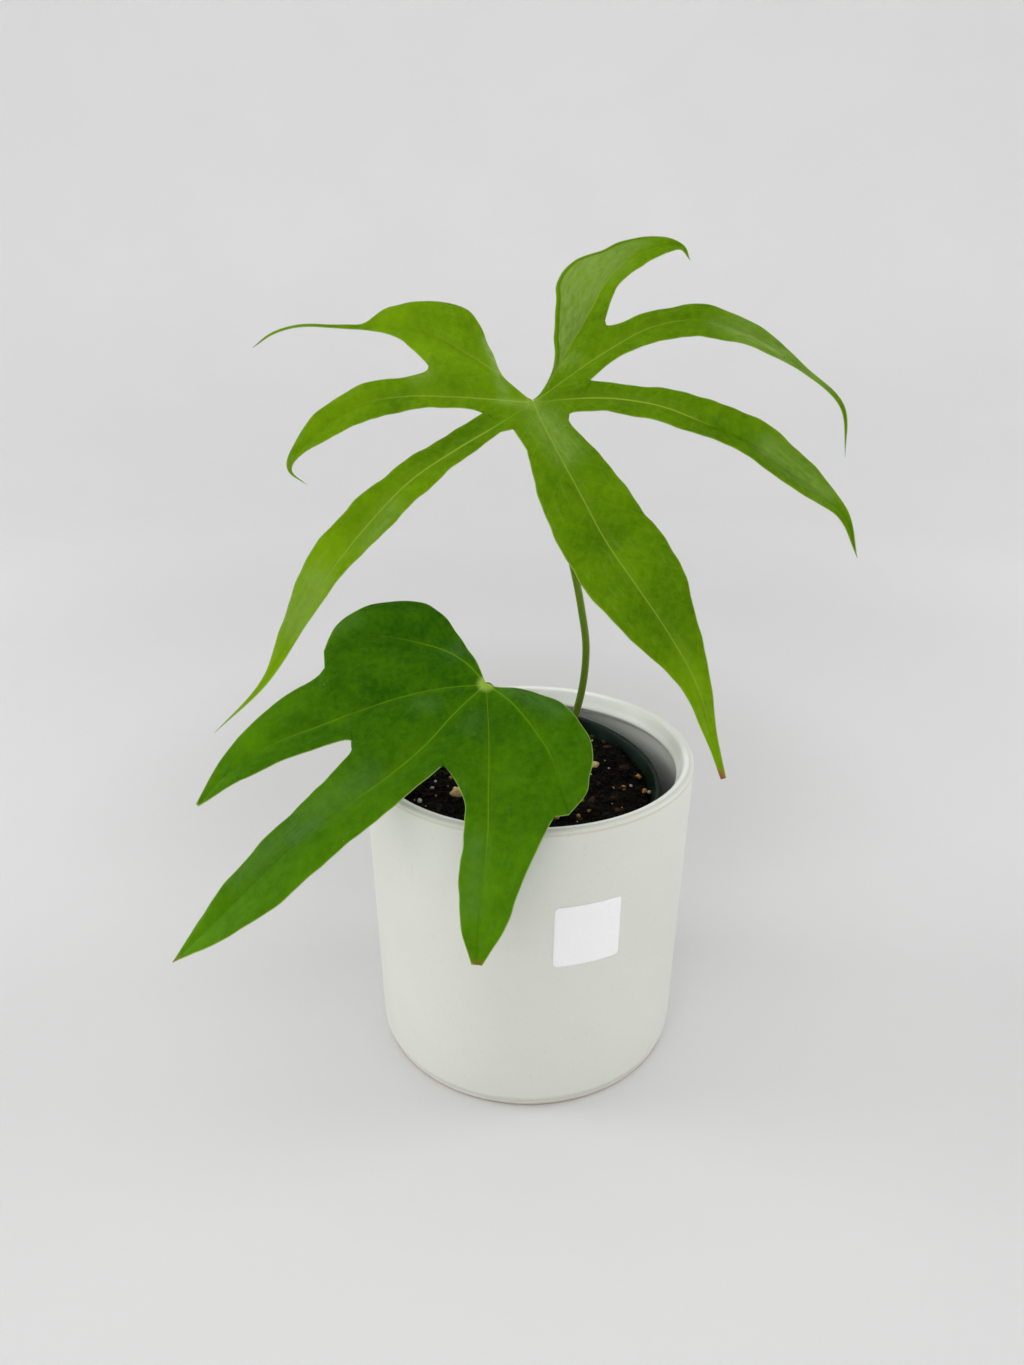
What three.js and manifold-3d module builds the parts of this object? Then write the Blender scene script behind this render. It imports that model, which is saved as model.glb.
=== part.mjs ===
// A young anthurium with two large lobed leaves, in a nursery pot that stands in a white cachepot.
// Millimetres, +Z up. The origin is the centre of the cachepot's underside, and the front is -Y.

import * as THREE from "three";
import { mergeVertices } from "three/addons/utils/BufferGeometryUtils.js";
import Module from "manifold-3d";

const wasm = await Module();
wasm.setup();

// Driving dimensions
const CLEARANCE = 0.3; // between pieces that touch
const POT_HEIGHT = 115;
const POT_RIM_RADIUS = 60;
const POT_FOOT_RADIUS = 55;
const POT_BODY_LOW_RADIUS = 56.7;
const POT_MOUTH_RADIUS = 56;
const POT_WALL = 3.4;
const POT_FLOOR = 5;
const POT_SIDES = 64;

const NURSERY_HEIGHT = 97.5;
const NURSERY_RIM_RADIUS = 51.3;
const NURSERY_BASE_RADIUS = 38;
const NURSERY_WALL = 1.2;
const NURSERY_FLOOR = 2.4; // top of its floor above its foot
const NURSERY_SIDES = 48;
const NURSERY_RIM_CENTRE = new THREE.Vector3(-2.2, 0, 106.5);
const NURSERY_LEAN_FORWARD = THREE.MathUtils.degToRad(5);
const NURSERY_LEAN_RIGHT = THREE.MathUtils.degToRad(4.5);

const MIX_BELOW_RIM = 5;
const MIX_BIT_COUNT = 44;
const MIX_SEED = 5;

const CROWN_FOOT = new THREE.Vector3(7, 6, 78);
const CROWN_RADIUS = 4.6;
const CROWN_HEIGHT = 28;

const PETIOLE_RADIUS = 1.4;
const PETIOLE_SIDES = 8;

const LEAF_THICKNESS = 0.8;
const LEAF_ROWS = 14; // from the junction to a lobe's tip
const LEAF_COLUMNS = 3; // from a lobe's rib to its edge

const LABEL_SIDE = 24;
const LABEL_THICKNESS = 0.4;
const LABEL_HEIGHT = 74; // of its middle above the underside
const LABEL_TURN = THREE.MathUtils.degToRad(19.4); // of its middle, from the front to the right

// Leaf shapes. Each lobe has a rib from the junction to its tip, as points in mm, and its half-widths
// spread evenly between the two: "before" towards the lobe listed before it, "after" on the other side.
// "fold" is how far the halves rise from the rib, in degrees. Neighbouring lobes grow together as far
// as the sinus between them, which opens at the share "opens" of each rib. A "straight" sinus has no
// round corner.
const UPPER_LEAF = {
  facing: [0, -0.77, 0.64],
  junction: [0, -10, 240.5],
  sinuses: [
    { at: [-33, -5, 251], rows: 5 },
    { at: [-17, -13, 238.2], rows: 2 },
    { at: [-6.3, -17.2, 233.4], rows: 1, straight: true },
    { at: [11, -15, 236.6], rows: 2 },
    { at: [18, -7, 247], rows: 3 },
    { at: [23, 7, 264], rows: 5 },
  ],
  lobes: [
    {
      rib: [
        [-10.5, -4, 248], [-23, 3, 255], [-35, 8, 260.5], [-48, 10, 262],
        [-61, 10, 261.5], [-74, 8, 262], [-83, 6, 260], [-90, 4, 255.5],
      ],
      before: [0, 0.7, 5.2, 10.4, 12.2, 10.4, 8, 5.4, 1.3, 1, 0.7, 0.6, 0.5, 0.5, 0.4],
      after: [5, 11, 9.2, 3.4, 0.8, 0.5, 0.5],
      fold: 14,
      opens: { after: 0.33 },
    },
    {
      rib: [
        [-13.5, -10, 241.5], [-27, -9, 242], [-40.5, -9, 242], [-53.5, -11, 240],
        [-64, -17, 234.5], [-72, -24, 227.5], [-74, -28, 222.5], [-69, -30, 218.5],
      ],
      before: [4, 6.2, 6.5, 5.8, 5, 2.3, 0.9],
      after: [4, 4.4, 6, 7.3, 5.6, 2, 0.5],
      fold: 12,
      opens: { before: 0.3, after: 0.17 },
    },
    {
      rib: [
        [-11.5, -15, 234], [-24, -21, 227.5], [-37.5, -29, 219.5], [-49.5, -39, 208.5],
        [-60, -50, 196.5], [-69, -60, 183], [-77.8, -68, 168.6], [-92.3, -73.5, 155.2],
      ],
      before: [5.3, 5.5, 6.1, 7.9, 8.1, 4.4, 1.3],
      after: [2.8, 4.5, 6.5, 6.1, 3.7, 2.4, 0.8],
      fold: 12,
      opens: { before: 0.11, after: 0.09 },
    },
    {
      rib: [
        [5.5, -20, 230.5], [13.5, -32, 217.5], [21.5, -43, 204.5], [30, -54, 194],
        [38.5, -63, 183], [46, -70, 171], [51, -76, 157], [54.6, -79.3, 144.3],
      ],
      before: [8.2, 13.1, 14.4, 14.2, 10.4, 5.2, 2.6],
      after: [7.9, 12.2, 14.4, 14.5, 9.5, 4.6, 1.4],
      fold: 12,
      opens: { before: 0.06, after: 0.1 },
    },
    {
      rib: [
        [12, -9, 241.5], [25.5, -8, 241.5], [40, -10, 239.5], [53.5, -14, 235],
        [67, -20, 230], [80, -28, 221], [93, -36, 211.8], [98, -40, 199],
      ],
      before: [5.5, 6.2, 7.2, 5.8, 5.6, 5, 2.6],
      after: [6, 4.8, 5.9, 7.5, 7.5, 6.3, 1.8],
      fold: 18,
      opens: { before: 0.1, after: 0.155 },
    },
    {
      rib: [
        [11, -4, 247.5], [23.5, 2, 255], [38.5, 8, 262], [55, 10, 264],
        [71.5, 7, 259.5], [86, -1, 250], [97.2, -9, 239.7], [99, -13, 224.5],
      ],
      before: [6, 4.9, 7.3, 8.5, 6.1, 1.5, 0.6],
      after: [6, 5.5, 5.1, 5.1, 3.4, 1.2, 0.5],
      fold: 18,
      opens: { before: 0.135, after: 0.26 },
    },
    {
      rib: [
        [6.5, -2, 248], [12, 5, 256.5], [18, 12, 265.5], [23.5, 18, 275],
        [32.5, 23, 283.5], [42.5, 26, 286.5], [49, 26, 286], [51.5, 23, 282],
      ],
      before: [4, 6, 5.6, 4.6, 6.1, 4.2, 1.7],
      after: [0.2, 1, 2.8, 6, 9.5, 12.1, 13.9, 12.6, 7.6, 5.8, 4.3, 3, 1.8, 0.9, 0.4],
      fold: 14,
      opens: { before: 0.4 },
    },
  ],
};

const LOWER_LEAF = {
  facing: [-0.15, -0.5, 0.85],
  junction: [-15, -20, 149],
  sinuses: [
    { at: [-70, -16, 153], rows: 11 },
    { at: [-58, -42.5, 136.3], rows: 6 },
    { at: [-28, -49, 133], rows: 4 },
    { at: [7, -64, 123], rows: 9 },
  ],
  lobes: [
    {
      rib: [
        [-21.5, -14, 154], [-29, -9, 156.8], [-38, -6, 158.5], [-49, -4, 160],
        [-60, -5, 160.5], [-71, -10, 157],
      ],
      before: [1.7, 3.4, 4.9, 7.6, 12, 14.8, 16, 15.2, 13.3, 10, 6.4],
      after: [4, 8, 11, 10, 6],
      fold: 8,
      opens: { after: 0.95 },
    },
    {
      rib: [
        [-29.5, -21, 148], [-43, -24, 146], [-57, -28, 142.5], [-70, -33, 139],
        [-82.5, -39, 136], [-95, -47, 131], [-105.5, -56, 122],
      ],
      before: [8, 13, 17, 17.4, 12.7, 6],
      after: [6, 10, 11, 9.7, 9.2, 7.1],
      fold: 8,
      opens: { before: 0.5, after: 0.46 },
    },
    {
      rib: [
        [-25, -29, 142.5], [-35, -40, 135], [-47, -51, 128.5], [-58.5, -61, 124],
        [-69.5, -70, 119], [-81, -79, 111], [-92.5, -87, 101.5], [-106.5, -92, 89],
      ],
      before: [8, 14, 15, 11.3, 8.8, 7.6, 5.4],
      after: [6, 11, 11.3, 13, 13.8, 13.5, 8.6],
      fold: 10,
      opens: { before: 0.37, after: 0.27 },
    },
    {
      rib: [
        [-14, -32, 140.5], [-13.5, -45, 133], [-13.5, -57, 125.5], [-13.5, -68, 118.5],
        [-14.5, -78, 109], [-16, -85, 98], [-16.4, -89.5, 86.8],
      ],
      before: [7, 11, 7.6, 7.4, 7.6, 5.5],
      after: [8, 15, 20, 17.4, 12.4, 8.8],
      fold: 10,
      opens: { before: 0.36, after: 0.58 },
    },
    {
      rib: [
        [-7, -27, 146], [0.5, -36, 140.5], [6.5, -46, 134.5], [9, -55, 128.5], [11.5, -62, 122.5],
      ],
      before: [5, 9, 11, 8],
      after: [2.2, 6.4, 10, 12.8, 13.8, 13.5, 11.9, 9.8, 7],
      fold: 6,
      opens: { before: 0.93 },
    },
  ],
};

const UPPER_PETIOLE = [
  [7.5, 6, 99], [12, 8, 113], [17.2, 9.5, 125], [20, 11, 138], [20.5, 11, 152],
  [18.4, 10, 166], [15.5, 8, 180], [10.8, 5, 199], [5.2, 0, 221], [1.2, -7, 237], [0, -9, 239.6],
];

const LOWER_PETIOLE = [
  [5.5, 4.5, 99], [3, 2.5, 112], [-2, -3, 125], [-8.5, -10.5, 138], [-13.2, -16.8, 146],
  [-14.8, -19.5, 147.9],
];

// Finishes
function finish(colour, roughness) {
  return new THREE.MeshStandardMaterial({ color: colour, roughness, metalness: 0 });
}

const CERAMIC = finish(0xdfe0d8, 0.45);
const PLASTIC = finish(0x14301f, 0.5);
const POTTING_MIX = finish(0x1d1511, 1);
const FRESH_GREEN = finish(0x5a9a16, 0.4);
const DARK_GREEN = finish(0x36730f, 0.45);
const STALK_GREEN = finish(0x557416, 0.45);
const SHEATH = finish(0x8a7a3c, 0.7);
const PAPER = finish(0xf2f2f0, 0.8);

// Solids
function closedGeometry(geometry) {
  const bare = geometry.clone();
  bare.deleteAttribute("normal");
  bare.deleteAttribute("uv");
  const merged = mergeVertices(bare, 1e-4);
  const corners = merged.index.array;
  const kept = [];
  for (let i = 0; i < corners.length; i += 3) {
    const [a, b, c] = [corners[i], corners[i + 1], corners[i + 2]];
    if (a !== b && b !== c && c !== a) kept.push(a, b, c);
  }
  merged.setIndex(kept);
  return merged;
}

function toSolid(geometry) {
  const closed = closedGeometry(geometry);
  const vertProperties = new Float32Array(closed.attributes.position.array);
  const triVerts = new Uint32Array(closed.index.array);
  return new wasm.Manifold(new wasm.Mesh({ numProp: 3, vertProperties, triVerts }));
}

function toGeometry(solid) {
  const mesh = solid.getMesh();
  const geometry = new THREE.BufferGeometry();
  geometry.setAttribute("position", new THREE.BufferAttribute(mesh.vertProperties, 3));
  geometry.setIndex(new THREE.BufferAttribute(mesh.triVerts, 1));
  return geometry;
}

function piece(name, geometry, material) {
  const flat = geometry.index ? geometry.toNonIndexed() : geometry;
  flat.computeVertexNormals();
  const mesh = new THREE.Mesh(flat, material);
  mesh.name = name;
  return mesh;
}

// A solid of revolution about Z, from [radius, height] pairs that run from the axis to the axis.
function turned(profile, sides) {
  const points = profile.map(([radius, height]) => new THREE.Vector2(radius, height));
  return closedGeometry(new THREE.LatheGeometry(points, sides).rotateX(Math.PI / 2));
}

function roundRod(points, radius, steps, sides) {
  const path = new THREE.CatmullRomCurve3(points.map((p) => new THREE.Vector3(...p)));
  const corners = [];
  for (let i = 0; i < sides; i++) {
    const angle = (i / sides) * 2 * Math.PI;
    corners.push(new THREE.Vector2(radius * Math.cos(angle), radius * Math.sin(angle)));
  }
  const section = new THREE.Shape(corners);
  return new THREE.ExtrudeGeometry(section, { steps, extrudePath: path, bevelEnabled: false });
}

// Repeatable draws from 0 to 1
function randomSource(seed) {
  let state = seed;
  return () => {
    state = (state * 16807) % 2147483647;
    return (state - 1) / 2147483646;
  };
}

// Cachepot: a tapered ceramic cylinder with a small rounded foot and a thicker rounded rim
function cachepotRadius(height) {
  const share = height / POT_HEIGHT;
  return THREE.MathUtils.lerp(POT_BODY_LOW_RADIUS, POT_RIM_RADIUS, share);
}

function cachepot() {
  const innerWall = (height) => cachepotRadius(height) - POT_WALL;
  const profile = [
    [0, 0],
    [POT_FOOT_RADIUS - 1, 0],
    [POT_FOOT_RADIUS, 0.8],
    [POT_FOOT_RADIUS + 0.2, 2],
    [POT_BODY_LOW_RADIUS - 0.6, 3.4],
    [cachepotRadius(6), 6],
    [cachepotRadius(60), 60],
    [cachepotRadius(POT_HEIGHT - 3), POT_HEIGHT - 3],
    [POT_RIM_RADIUS - 0.2, POT_HEIGHT - 1.4],
    [POT_RIM_RADIUS - 0.9, POT_HEIGHT - 0.3],
    [POT_RIM_RADIUS - 2, POT_HEIGHT],
    [POT_MOUTH_RADIUS + 0.9, POT_HEIGHT - 0.2],
    [POT_MOUTH_RADIUS + 0.1, POT_HEIGHT - 1.2],
    [POT_MOUTH_RADIUS - 2, POT_HEIGHT - 5.8],
    [POT_MOUTH_RADIUS - 1.8, POT_HEIGHT - 6.6],
    [innerWall(POT_HEIGHT - 7.2), POT_HEIGHT - 7.2],
    [innerWall(60), 60],
    [innerWall(12), 12],
    [innerWall(8) - 1.5, 7.5],
    [innerWall(6) - 5, POT_FLOOR],
    [0, POT_FLOOR],
  ];
  return piece("cachepot", turned(profile, POT_SIDES), CERAMIC);
}

// Nursery pot: thin tapered plastic with a rolled lip and drain holes, which leans a little
function nurseryRadius(height) {
  const share = height / NURSERY_HEIGHT;
  return THREE.MathUtils.lerp(NURSERY_BASE_RADIUS, NURSERY_RIM_RADIUS - 1, share);
}

function nurseryGroup() {
  const group = new THREE.Group();
  group.rotation.set(NURSERY_LEAN_FORWARD, NURSERY_LEAN_RIGHT, 0);
  const axis = new THREE.Vector3(0, 0, 1).applyEuler(group.rotation);
  group.position.copy(NURSERY_RIM_CENTRE).addScaledVector(axis, -NURSERY_HEIGHT);
  group.updateMatrixWorld(true);
  return group;
}

function nurseryPot() {
  const lipHeight = 4;
  const footStep = 0.8; // from the foot ring up to the floor's underside
  const corner = 1.5; // where the floor meets the wall inside
  const inner = (height) => nurseryRadius(height) - NURSERY_WALL;
  const profile = [
    [0, footStep],
    [NURSERY_BASE_RADIUS - 6, footStep],
    [NURSERY_BASE_RADIUS - 5, 0],
    [NURSERY_BASE_RADIUS - 0.8, 0],
    [nurseryRadius(footStep), footStep],
    [nurseryRadius(NURSERY_HEIGHT - lipHeight), NURSERY_HEIGHT - lipHeight],
    [NURSERY_RIM_RADIUS, NURSERY_HEIGHT - lipHeight + 0.3],
    [NURSERY_RIM_RADIUS, NURSERY_HEIGHT - 0.6],
    [NURSERY_RIM_RADIUS - 0.6, NURSERY_HEIGHT],
    [NURSERY_RIM_RADIUS - 1.6, NURSERY_HEIGHT],
    [inner(NURSERY_HEIGHT - 1), NURSERY_HEIGHT - 1],
    [inner(NURSERY_FLOOR + corner), NURSERY_FLOOR + corner],
    [inner(NURSERY_FLOOR) - corner, NURSERY_FLOOR],
    [0, NURSERY_FLOOR],
  ];
  const holeRadius = 4;
  const holeRing = 24; // from the pot's axis to a hole's middle
  const holeCount = 6;
  const cutter = 4 * NURSERY_FLOOR;
  let solid = toSolid(turned(profile, NURSERY_SIDES));
  for (let i = 0; i < holeCount; i++) {
    const angle = (i / holeCount) * 2 * Math.PI;
    const hole = new THREE.CylinderGeometry(holeRadius, holeRadius, cutter, 12).rotateX(Math.PI / 2);
    hole.translate(holeRing * Math.cos(angle), holeRing * Math.sin(angle), 0);
    solid = solid.subtract(toSolid(hole));
  }
  return piece("nursery_pot", toGeometry(solid), PLASTIC);
}

// Potting mix: a filled cone with an uneven top, perlite and bark bits sunk in it, and a plain hole
function mixTop(x, y) {
  const long = 1.1 * Math.sin(x * 0.11 + 0.6) * Math.cos(y * 0.13 - 0.4);
  const short = 0.4 * Math.sin(x * 0.37 + y * 0.21) + 0.3 * Math.cos(x * 0.28 - y * 0.42);
  return NURSERY_HEIGHT - MIX_BELOW_RIM + long + short;
}

function mixBody() {
  const rings = 11;
  const sides = 36;
  const edgeDrop = 1; // of the top beside the wall
  const corner = 2; // at the floor, clear of the pot's own
  const wallGap = NURSERY_WALL + CLEARANCE;
  const bottom = NURSERY_FLOOR + CLEARANCE;
  const topRadius = nurseryRadius(NURSERY_HEIGHT - MIX_BELOW_RIM - 3) - wallGap;
  const bottomRadius = nurseryRadius(bottom + corner) - wallGap - corner;
  const positions = [0, 0, mixTop(0, 0)];
  for (let ring = 1; ring <= rings; ring++) {
    for (let side = 0; side < sides; side++) {
      const angle = ((side + (ring % 2) * 0.5) / sides) * 2 * Math.PI;
      const radius = (topRadius * ring) / rings;
      const [x, y] = [radius * Math.cos(angle), radius * Math.sin(angle)];
      positions.push(x, y, mixTop(x, y) - (ring === rings ? edgeDrop : 0));
    }
  }
  for (let side = 0; side < sides; side++) {
    const angle = ((side + (rings % 2) * 0.5) / sides) * 2 * Math.PI;
    positions.push(bottomRadius * Math.cos(angle), bottomRadius * Math.sin(angle), bottom + corner);
  }
  positions.push(0, 0, bottom);
  const foot = positions.length / 3 - 1;
  const at = (ring, side) => 1 + (ring - 1) * sides + (side % sides);
  const faces = [];
  for (let side = 0; side < sides; side++) {
    faces.push(0, at(1, side), at(1, side + 1));
    for (let ring = 1; ring <= rings; ring++) {
      const [a, b] = [at(ring, side), at(ring, side + 1)];
      const [c, d] = [at(ring + 1, side), at(ring + 1, side + 1)];
      faces.push(a, c, b, b, c, d);
    }
    faces.push(foot, at(rings + 1, side + 1), at(rings + 1, side));
  }
  const geometry = new THREE.BufferGeometry();
  geometry.setAttribute("position", new THREE.Float32BufferAttribute(positions, 3));
  geometry.setIndex(faces);
  return geometry;
}

function mixBits(stem) {
  const random = randomSource(MIX_SEED);
  const reach = nurseryRadius(NURSERY_HEIGHT - MIX_BELOW_RIM) - 6;
  const bits = [];
  for (let i = 0; i < MIX_BIT_COUNT; i++) {
    const radius = reach * Math.sqrt(random());
    const angle = 2 * Math.PI * random();
    const size = 1.2 + 1.8 * random() * random();
    const bit = new THREE.IcosahedronGeometry(size, 0);
    bit.scale(1, 0.7 + 0.5 * random(), 0.6 + 0.3 * random());
    bit.rotateZ(Math.PI * random());
    const [x, y] = [radius * Math.cos(angle), radius * Math.sin(angle)];
    bit.translate(x, y, mixTop(x, y) - 0.15 * size);
    if (Math.hypot(x - stem.x, y - stem.y) > 2 * CROWN_RADIUS) bits.push(bit);
  }
  return bits;
}

function pottingMix(toLocal) {
  const topClear = NURSERY_HEIGHT - MIX_BELOW_RIM + 2;
  let solid = toSolid(mixBody());
  const stem = CROWN_FOOT.clone().applyMatrix4(toLocal);
  for (const bit of mixBits(stem)) solid = solid.add(toSolid(bit));
  const holeRadius = CROWN_RADIUS + CLEARANCE + 0.2;
  const hole = new THREE.CylinderGeometry(holeRadius, holeRadius, topClear, 24).rotateX(Math.PI / 2);
  hole.translate(CROWN_FOOT.x, CROWN_FOOT.y, CROWN_FOOT.z - CLEARANCE + topClear / 2);
  hole.applyMatrix4(toLocal);
  return piece("potting_mix", toGeometry(solid.subtract(toSolid(hole))), POTTING_MIX);
}

// Stem crown: a short ringed stem with a pointed papery sheath, and a socket for each leaf stalk
function stemCrown() {
  const ring = 0.5;
  const profile = [
    [0, 0],
    [CROWN_RADIUS - 1.5, 0],
    [CROWN_RADIUS - ring, 2],
    [CROWN_RADIUS - ring, 9],
    [CROWN_RADIUS, 10],
    [CROWN_RADIUS - ring, 11],
    [CROWN_RADIUS - ring, 16],
    [CROWN_RADIUS, 17],
    [CROWN_RADIUS - ring, 18],
    [CROWN_RADIUS - 0.8, CROWN_HEIGHT - 3],
    [CROWN_RADIUS - 1.8, CROWN_HEIGHT - 0.8],
    [0, CROWN_HEIGHT],
  ];
  const sheathRadius = 2.4;
  const sheathLength = 22;
  const sheathLean = THREE.MathUtils.degToRad(-7);
  const sheath = new THREE.ConeGeometry(sheathRadius, sheathLength, 10).rotateX(Math.PI / 2);
  sheath.scale(1, 0.5, 1);
  sheath.rotateY(sheathLean);
  sheath.translate(-2.6, 1.4, CROWN_HEIGHT - 1);
  let solid = toSolid(turned(profile, 20)).add(toSolid(sheath));
  for (const route of [UPPER_PETIOLE, LOWER_PETIOLE]) {
    const socket = roundRod(route.slice(0, 3), PETIOLE_RADIUS + CLEARANCE, 8, 12);
    socket.translate(-CROWN_FOOT.x, -CROWN_FOOT.y, -CROWN_FOOT.z);
    solid = solid.subtract(toSolid(socket));
  }
  const mesh = piece("stem_crown", toGeometry(solid), SHEATH);
  mesh.position.copy(CROWN_FOOT);
  return mesh;
}

function petiole(name, route, steps) {
  return piece(name, roundRod(route, PETIOLE_RADIUS, steps, PETIOLE_SIDES), STALK_GREEN);
}

// Leaf blades
// A smooth curve through evenly spread values
function between(values, share) {
  const last = values.length - 1;
  const start = Math.min(Math.floor(share * last), last - 1);
  const [b, c] = [values[start], values[start + 1]];
  const a = start > 0 ? values[start - 1] : 2 * b - c;
  const d = start + 2 <= last ? values[start + 2] : 2 * c - b;
  const f = share * last - start;
  const bend = 2 * a - 5 * b + 4 * c - d;
  const twist = 3 * b - a - 3 * c + d;
  return b + 0.5 * ((c - a) * f + bend * f * f + twist * f * f * f);
}

function ribPoint(rib, share) {
  const axis = (i) => between(rib.map((p) => p[i]), share);
  return new THREE.Vector3(axis(0), axis(1), axis(2));
}

// The point on a lobe's free edge, with side 1 for "before" and -1 for "after"
function edgePoint(lobe, leaf, share, side) {
  const step = 0.001;
  const rib = [leaf.junction, ...lobe.rib];
  const widths = [0, ...(side > 0 ? lobe.before : lobe.after), 0];
  const along = ribPoint(rib, Math.min(share + step, 1)).sub(ribPoint(rib, Math.max(share - step, 0)));
  const facing = new THREE.Vector3(...leaf.facing).normalize();
  const across = along.clone().cross(facing).normalize();
  const up = across.clone().cross(along).normalize();
  const fold = THREE.MathUtils.degToRad(lobe.fold);
  const width = Math.max(between(widths, share), 0);
  const edge = ribPoint(rib, share).addScaledVector(across, side * width * Math.cos(fold));
  return edge.addScaledVector(up, width * Math.sin(fold));
}

// The rib's share at each row: the rows that end at a sinus stand level with it
function rowShares(lobe, rowsBefore, rowsAfter) {
  const knots = [[0, 0], [LEAF_ROWS, 1]];
  if (rowsBefore > 0) knots.push([rowsBefore, lobe.opens.before]);
  if (rowsAfter > 0) knots.push([rowsAfter, lobe.opens.after]);
  knots.sort((a, b) => a[0] - b[0]);
  const shares = [];
  for (let row = 0; row <= LEAF_ROWS; row++) {
    const next = Math.max(knots.findIndex(([knotRow]) => knotRow >= row), 1);
    const [[row0, share0], [row1, share1]] = [knots[next - 1], knots[next]];
    shares.push(THREE.MathUtils.mapLinear(row, row0, row1, share0, share1));
  }
  return shares;
}

function lobeEdge(lobe, leaf, shares, side, sinus) {
  const junction = new THREE.Vector3(...leaf.junction);
  const joined = sinus ? sinus.rows : 0;
  const opening = sinus ? new THREE.Vector3(...sinus.at) : junction;
  const shift = opening.clone().sub(edgePoint(lobe, leaf, shares[joined], side));
  const length = junction.distanceTo(new THREE.Vector3(...lobe.rib.at(-1)));
  const turnLength = (1.6 * shift.length() + 1) / length; // in which the edge leaves the sinus
  const room = 1 - shares[joined];
  const straight = turnLength > room || (sinus && sinus.straight);
  return shares.map((share, row) => {
    if (row <= joined && joined > 0) return junction.clone().lerp(opening, row / joined);
    const rest = Math.max(1 - (share - shares[joined]) / Math.min(turnLength, room), 0);
    const turn = straight ? rest : 1 - Math.sqrt(1 - rest * rest);
    return edgePoint(lobe, leaf, share, side).addScaledVector(shift, turn);
  });
}

// The blade's middle surface, as shared points and triangles
function leafSurface(leaf) {
  const points = [];
  const seen = new Map();
  const facing = new THREE.Vector3(...leaf.facing).normalize();
  const pointIndex = (point) => {
    const key = point.toArray().map((value) => value.toFixed(3)).join(" ");
    if (!seen.has(key)) {
      seen.set(key, points.length);
      points.push(point);
    }
    return seen.get(key);
  };
  const faces = [];
  leaf.lobes.forEach((lobe, i) => {
    const sinusBefore = leaf.sinuses[i - 1];
    const sinusAfter = leaf.sinuses[i];
    const shares = rowShares(lobe, sinusBefore?.rows ?? 0, sinusAfter?.rows ?? 0);
    const rib = shares.map((share) => ribPoint([leaf.junction, ...lobe.rib], share));
    for (const [side, sinus] of [[1, sinusBefore], [-1, sinusAfter]]) {
      const edge = lobeEdge(lobe, leaf, shares, side, sinus);
      const grid = rib.map((start, row) => {
        const rise = Math.max(edge[row].clone().sub(start).dot(facing), 0);
        const line = [];
        for (let column = 0; column <= LEAF_COLUMNS; column++) {
          const v = column / LEAF_COLUMNS;
          const point = start.clone().lerp(edge[row], v);
          line.push(pointIndex(point.addScaledVector(facing, rise * v * (1 - v))));
        }
        return line;
      });
      for (let row = 0; row < LEAF_ROWS; row++) {
        for (let column = 0; column < LEAF_COLUMNS; column++) {
          const [a, b] = [grid[row][column], grid[row][column + 1]];
          const [c, d] = [grid[row + 1][column], grid[row + 1][column + 1]];
          const pair = side > 0 ? [[a, c, b], [b, c, d]] : [[a, b, c], [b, d, c]];
          for (const face of pair) if (new Set(face).size === 3) faces.push(face);
        }
      }
    }
  });
  return { points, faces };
}

function surfaceNormals(points, faces) {
  const normals = points.map(() => new THREE.Vector3());
  for (const [a, b, c] of faces) {
    const ab = points[b].clone().sub(points[a]);
    const ac = points[c].clone().sub(points[a]);
    const normal = ab.cross(ac);
    for (const corner of [a, b, c]) normals[corner].add(normal);
  }
  return normals.map((normal) => normal.normalize());
}

function leafBlade(name, leaf, material) {
  const { points, faces } = leafSurface(leaf);
  const normals = surfaceNormals(points, faces);
  const count = points.length;
  const positions = [];
  for (const half of [0.5, -0.5]) {
    points.forEach((point, i) => {
      const moved = point.clone().addScaledVector(normals[i], half * LEAF_THICKNESS);
      positions.push(...moved.toArray());
    });
  }
  const open = new Map();
  const index = [];
  for (const [a, b, c] of faces) {
    index.push(a, b, c, count + a, count + c, count + b);
    for (const [from, to] of [[a, b], [b, c], [c, a]]) {
      if (!open.delete(`${to} ${from}`)) open.set(`${from} ${to}`, [from, to]);
    }
  }
  for (const [from, to] of open.values()) {
    index.push(from, count + from, count + to, from, count + to, to);
  }
  const geometry = new THREE.BufferGeometry();
  geometry.setAttribute("position", new THREE.Float32BufferAttribute(positions, 3));
  geometry.setIndex(index);
  return piece(name, geometry, material);
}

// Blank label: a thin paper square, bent round the cachepot's front
function blankLabel() {
  const inner = cachepotRadius(LABEL_HEIGHT) + CLEARANCE;
  const halfAngle = LABEL_SIDE / 2 / inner;
  const sector = new THREE.Shape();
  sector.absarc(0, 0, inner + LABEL_THICKNESS, -halfAngle, halfAngle, false);
  sector.absarc(0, 0, inner, halfAngle, -halfAngle, true);
  const plate = new THREE.ExtrudeGeometry(sector, {
    depth: LABEL_SIDE,
    bevelEnabled: false,
    curveSegments: 6,
  });
  plate.translate(0, 0, -LABEL_SIDE / 2);
  plate.translate(-inner, 0, 0);
  const taper = Math.atan((POT_RIM_RADIUS - POT_BODY_LOW_RADIUS) / POT_HEIGHT);
  plate.rotateY(taper);
  plate.translate(inner, 0, 0);
  const mesh = piece("blank_label", closedGeometry(plate), PAPER);
  mesh.rotation.z = LABEL_TURN - Math.PI / 2;
  mesh.position.z = LABEL_HEIGHT;
  return mesh;
}

// Assembly
const nursery = nurseryGroup();
nursery.add(nurseryPot());
nursery.add(pottingMix(nursery.matrixWorld.clone().invert()));

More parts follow.
